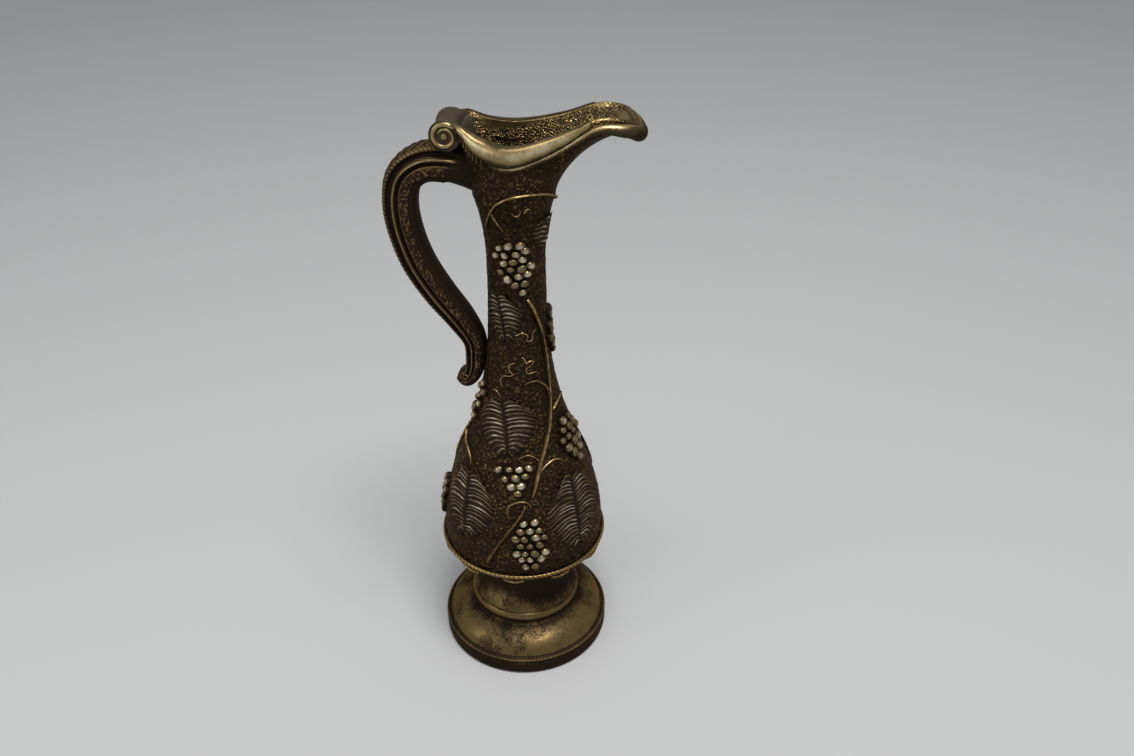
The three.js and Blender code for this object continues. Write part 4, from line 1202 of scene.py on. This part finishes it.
VINES = {
    "vine_main": (180, (
        Run((5, 7.5), (3.2, 4.6), ((-64, 577), (-50, 556), (-34, 519), (-29, 478), (-33, 440), (-42, 402),
                                   (-54, 372), (-65, 343), (-75, 300))),
        Run((3, 2.6), (2.6, 2.2), ((-62, 344), (-67, 353), (-74, 358.5), (-81, 357.5), (-87, 352.5))),
        Run((3.2, 2.6), (2.8, 2.2), ((-66, 332), (-60, 340), (-50, 345), (-42, 342), (-37, 334))),
        Run((3.4, 2.8), (3, 2.4), ((-34, 432), (-37, 443), (-44, 451), (-55, 458), (-69, 457), (-77, 454))),
    )),
    "vine_low": (180, (
        Run((5, 8.5), (3.6, 5), ((-80, 293), (-87, 272), (-97, 246), (-105, 218), (-110, 193))),
    )),
    "vine_left": (0, (
        Run((3.4, 4.6), (3, 3.4), ((-165, 374), (-174, 350), (-182, 322), (-183, 292))),
        Run((3.6, 3), (3.2, 2.4), ((-171, 357), (-161, 348), (-149, 343), (-141, 336), (-138, 327))),
    )),
    "vine_arch": (0, (
        Run((3.4, 4.2), (2.8, 3.2), ((-136, 669), (-122, 691), (-105, 710), (-81, 720), (-45, 719),
                                     (-12, 706), (14, 693))),
        Run((3.4, 2.6), (2.8, 2.4), ((-118, 697), (-110, 683), (-101, 670))),
    )),
    "vine_right": (0, (
        Run((3.8, 3), (3, 2.4), ((-35, 407.5), (-28, 411), (-18, 415), (-6, 416), (6, 412), (14, 407))),
    )),
    "tendril_ring": (0, (
        Run((2.8, 2.8), (2.4, 2.4), ((-75, 287), (-78.5, 296), (-86, 297.5), (-93, 292), (-95, 282),
                                     (-92, 272))),
    )),
}
# Fine curling tendrils as (angle, height); each repeats on the far side
TENDRILS = (
    ((-89, 527), (-85.5, 526), (-79, 528.5), (-73.5, 529), (-64.5, 524), (-68, 518), (-57, 516), (-53.5, 528),
     (-42, 528)),
    ((-88, 487), (-94, 485), (-99, 483), (-99.5, 475), (-93.5, 470), (-98, 467), (-109, 466), (-115, 459),
     (-111.5, 451), (-110, 446)),
    ((-78, 494), (-73.5, 492), (-70, 485), (-63, 487), (-56.5, 486), (-61.5, 481), (-70.5, 477), (-68, 470),
     (-55, 470), (-49, 467), (-48, 457)),
    ((-131.5, 440), (-125, 442), (-119.5, 441), (-114.5, 436), (-109.5, 429)),
    ((-87, 701), (-83, 695), (-77, 695), (-74, 701), (-77, 705)),
    ((-70, 696), (-67, 702), (-62, 703), (-59, 698)),
)


@dataclass
class Grapevine:
    """Bunches, leaves, vines and tendrils on the wall."""

    seed: int = 11
    berry_share: float = 0.525
    berry_stray: float = 1.3
    berry_lift: float = 1.4
    rib_pitch: float = 5.7
    rib_rise: float = 1.5
    vine_step: float = 2.2
    leaf_rise: float = 3.6
    spring: float = 0.4
    weep: float = 0.54

    def bunch(self, place: Bunch, turn: float, side: str) -> None:
        """Makes one bunch of oval berries in staggered rows."""
        draw = random.Random(self.seed + round(place.z))
        work = Casting()
        stray = self.berry_stray
        row_pitch = place.pitch * math.sqrt(3) / 2
        top = (len(place.rows) - 1) / 2 * row_pitch
        for row, count in enumerate(place.rows):
            for i in range(count):
                u = (i - (count - 1) / 2) * place.pitch + draw.uniform(-stray, stray)
                v = top - row * row_pitch + draw.uniform(-stray, stray)
                size = place.pitch * self.berry_share * draw.uniform(0.8, 1.06)
                point, normal = on_wall(place, turn, u, v, self.berry_lift)
                across = Vector((0, 0, 1)).cross(normal).normalized()
                axes = Matrix((across, normal.cross(across), normal)).transposed()
                axes @= Matrix.Rotation(draw.uniform(-0.7, 0.7), 3, "Z")
                radii = Vector((size * 1.1, size * 0.9, size * 0.95))
                work.ball(point, axes, radii, draw.uniform(0.72, 1.12))
        work.finish(f"{place.name}_{side}_cast", Slot.GRAPE, [GRAPE_SILVER], f"{place.name}_{side}")

    def leaf(self, place: Leaf, turn: float, side: str) -> None:
        """Makes one leaf: two crowned halves with drooping ribs either side of a midrib."""
        work = Casting()
        ribs = round(place.length / self.rib_pitch)

        def put(u: float, v: float) -> Spot:
            """Point for a share u across the leaf and v from its stem to its tip."""
            across = 2 * u - 1
            away = abs(across)
            body = math.sin(math.pi * mix(0.03, 0.985, v) ** 0.72) ** 0.62
            side = math.copysign(1, across)
            waver = noise.noise(Vector((v * 7, side * 3, place.z)))
            waver += 0.5 * noise.noise(Vector((v * 19, away * 3, side)))
            phase = (v + 0.03 * waver + 0.01 * side) * ribs * math.tau
            uneven = 0.5 + noise.noise(Vector((v * 11, across * 2.5, 7)))
            rib = (0.5 + 0.5 * math.cos(phase)) * mix(0.7, 1, uneven)
            sway = (self.spring * away - self.weep * away * away) * (1 - 0.5 * v)
            tooth = 1 + 0.035 * math.cos(phase) * ease(0.6, 1, away)
            x = across * place.width / 2 * body * tooth
            y = place.length * (0.5 - v + sway)
            crown = 0.55 + 0.45 * math.sin(math.pi * min(1.0, away * 1.1))
            edge = ease(1.0, 0.9, away) if away > 0.9 else 1.0
            trench = math.exp(-(across / 0.07) ** 2)
            rise = (self.leaf_rise * crown - 1.9 * trench + self.rib_rise * rib * (1 - 0.9 * trench)) * edge
            rise *= min(1, place.length / 80)
            lift = rise + 0.3 - 1.6 * (1 - edge)
            shine = 1.08 * rib ** 2.5 * (1 - 0.95 * trench)
            relief = 0.1 + shine * mix(1, 0.58, ease(0.4, 1, away)) * mix(1, 0.8, v)
            return on_wall(place, turn, x, y, lift)[0], relief

        work.sheet(36, ribs * 9, put, flip=True)
        work.finish(f"{place.name}_{side}_cast", Slot.LEAF, [LEAF_SILVER], f"{place.name}_{side}")

    def run(self, work: Casting, run: Run, turn: float) -> None:
        """Lays one run of vine on the wall, drawn to a point at both ends."""
        line = [Vector(station) for station in run.stations]
        length = sum(math.hypot(math.radians(b.x - a.x) * WALL.radius(b.y), b.y - a.y)
                     for a, b in zip(line, line[1:]))
        steps = max(12, round(length / self.vine_step))

        def place(u: float, v: float) -> Spot:
            """Point for a share u round the vine and v along it."""
            here = catmull(line, v)
            way = catmull(line, min(1.0, v + 0.01)) - catmull(line, max(0.0, v - 0.01))
            radius = WALL.radius(here.y)
            across = Vector((-way.y, math.radians(way.x) * radius)).normalized()
            taper = min(1.0, v * steps / 2.5, (1 - v) * steps / 9) ** 0.5
            around = u * math.tau
            knot = 1 + 0.12 * noise.noise(Vector((here.x / 6, here.y / 9, 3)))
            width = mix(*run.width, v) / 2 * taper * knot * math.cos(around)
            rise = mix(*run.rise, v) * taper * knot * (0.2 + math.sin(around)) + 0.2
            bark = 0.12 * math.sin(around * 4 + v * 25)
            angle = here.x + turn + math.degrees(across.x * width / radius)
            # Relief peaks on the vine's crest, turned a little to one side: rubbed gold with a painted
            # highlight on that side and painted shade on the other. Thin runs are lighter, and every run is
            # darker towards the bottom of the belly.
            rub_and_painted_light = 0.1 + 0.95 * max(0.0, math.sin(around + 0.35)) ** 1.8 + (0.15 if run.width[0] < 3.3 else 0)
            rub_and_painted_light *= 1 + 0.5 * noise.noise(Vector((here.x / 5, here.y / 5, around)))
            return (WALL.point(angle, here.y + across.y * width, rise + bark),
                    rub_and_painted_light * mix(0.55, 1, ease(220, 320, here.y)))

        work.tube(12, steps, place)

    def tendrils(self) -> None:
        """Makes the fine curling tendrils between the leaves, front and back."""
        work = Casting()
        for turn in (0, 180):
            for stations in TENDRILS:
                self.run(work, Run((2.3, 1.7), (1.5, 1.1), stations), turn)
        work.finish("fine_tendrils", Slot.GOLD, [VINE_GOLD])

    def build(self) -> None:
        """Makes every sprig, with its copy on the far side where there is one."""
        for maker, places in ((self.bunch, BUNCHES), (self.leaf, LEAVES)):
            for place in places:
                maker(place, 0, "front")
                if place.back:
                    maker(place, place.back, "back")
        for name, (back, runs) in VINES.items():
            for side, turn in (("front", 0), ("back", back)):
                if side == "front" or back:
                    work = Casting()
                    for run in runs:
                        self.run(work, run, turn)
                    work.finish(f"{name}_{side}_cast", Slot.GOLD, [VINE_GOLD], f"{name}_{side}")
        self.tendrils()


# Studio

@dataclass
class Studio:
    """Plain pale floor, soft light and the camera of the photograph."""

    floor_size: float = 14
    floor_grey: float = 0.42
    surround: tuple[float, float, float, float] = (0.42, 0.43, 0.45, 1)
    backdrop: tuple[float, float, float, float] = (0.5, 0.5, 0.5, 1)
    lit_height: float = 0.45
    camera_at: tuple[float, float, float] = (0.1664, -1.1682, 1.2222)
    camera_tilt: float = 56.6
    camera_turn: float = 5.0
    lens: float = 33.17

    def floor(self) -> None:
        """Lays the floor."""
        bm = bmesh.new()
        bmesh.ops.create_grid(bm, x_segments=2, y_segments=2, size=self.floor_size / 2)
        mesh = bpy.data.meshes.new("floor")
        bm.to_mesh(mesh)
        bm.free()
        made = bpy.data.materials.new("pale_floor")
        tree = emptied(made)
        grey = self.floor_grey
        shader = wire(tree, "BsdfPrincipled", {"Base Color": (grey, grey, grey * 0.99, 1), "Roughness": 0.9})
        wire(tree, "OutputMaterial", {"Surface": shader.outputs[0]})
        mesh.materials.append(made)
        floor = placed("floor", mesh)

    def world(self) -> None:
        """Sets an even grey surround, lighter where the camera, metal or glass shows it."""
        world = bpy.data.worlds.new("studio")
        bpy.context.scene.world = world
        tree = emptied(world)
        path = tree.nodes.new("ShaderNodeLightPath").outputs
        seen = path["Is Camera Ray"]
        for ray in ("Is Transmission Ray", "Is Glossy Ray"):
            seen = sums(tree, "MAXIMUM", seen, path[ray])
        colour = blend(tree, seen, self.surround, self.backdrop)
        surround = wire(tree, "Background", {"Color": colour, "Strength": 1.0})
        wire(tree, "OutputWorld", {"Surface": surround.outputs[0]})

    def lamp(self, name: str, at: tuple[float, float, float], size: float, power: float) -> None:
        """Hangs a square soft lamp that points at the middle of the pitcher."""
        data = bpy.data.lights.new(name, "AREA")
        data.size = size
        data.energy = power
        lamp = placed(name, data)
        lamp.location = at
        aim = Vector((0, 0, self.lit_height)) - Vector(at)
        lamp.rotation_euler = aim.to_track_quat("-Z", "Y").to_euler()

    def camera(self) -> None:
        """Sets the camera at the photograph's viewing angle."""
        data = bpy.data.cameras.new("camera")
        data.sensor_width = 36
        data.lens = self.lens
        data.clip_end = 50
        camera = placed("camera", data)
        camera.location = self.camera_at
        camera.rotation_euler = (math.radians(self.camera_tilt), 0, math.radians(self.camera_turn))
        bpy.context.scene.camera = camera

    def build(self) -> None:
        """Makes the studio."""
        self.floor()
        self.world()
        self.lamp("overhead", (0.55, -1.0, 4.1), 1.7, 170)
        self.lamp("side_fill", (-2.2, -1.6, 1.8), 1.6, 17)
        self.camera()
        bpy.context.scene.view_settings.view_transform = "Standard"


def main() -> None:
    """Builds the pitcher's looks and the studio."""
    logging.basicConfig(level=logging.INFO, format="%(message)s")
    Studio().build()
    Foot().build()
    Vessel().build()
    mouth = Mouth()
    mouth.build()
    CrossRoll().build()
    Handle(surface=mouth.back_surface()).build()
    Girdle().build()
    Grapevine().build()
    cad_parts["base_felt"].material_slots[0].material = Felt().material()


if __name__ == "__main__":
    main()
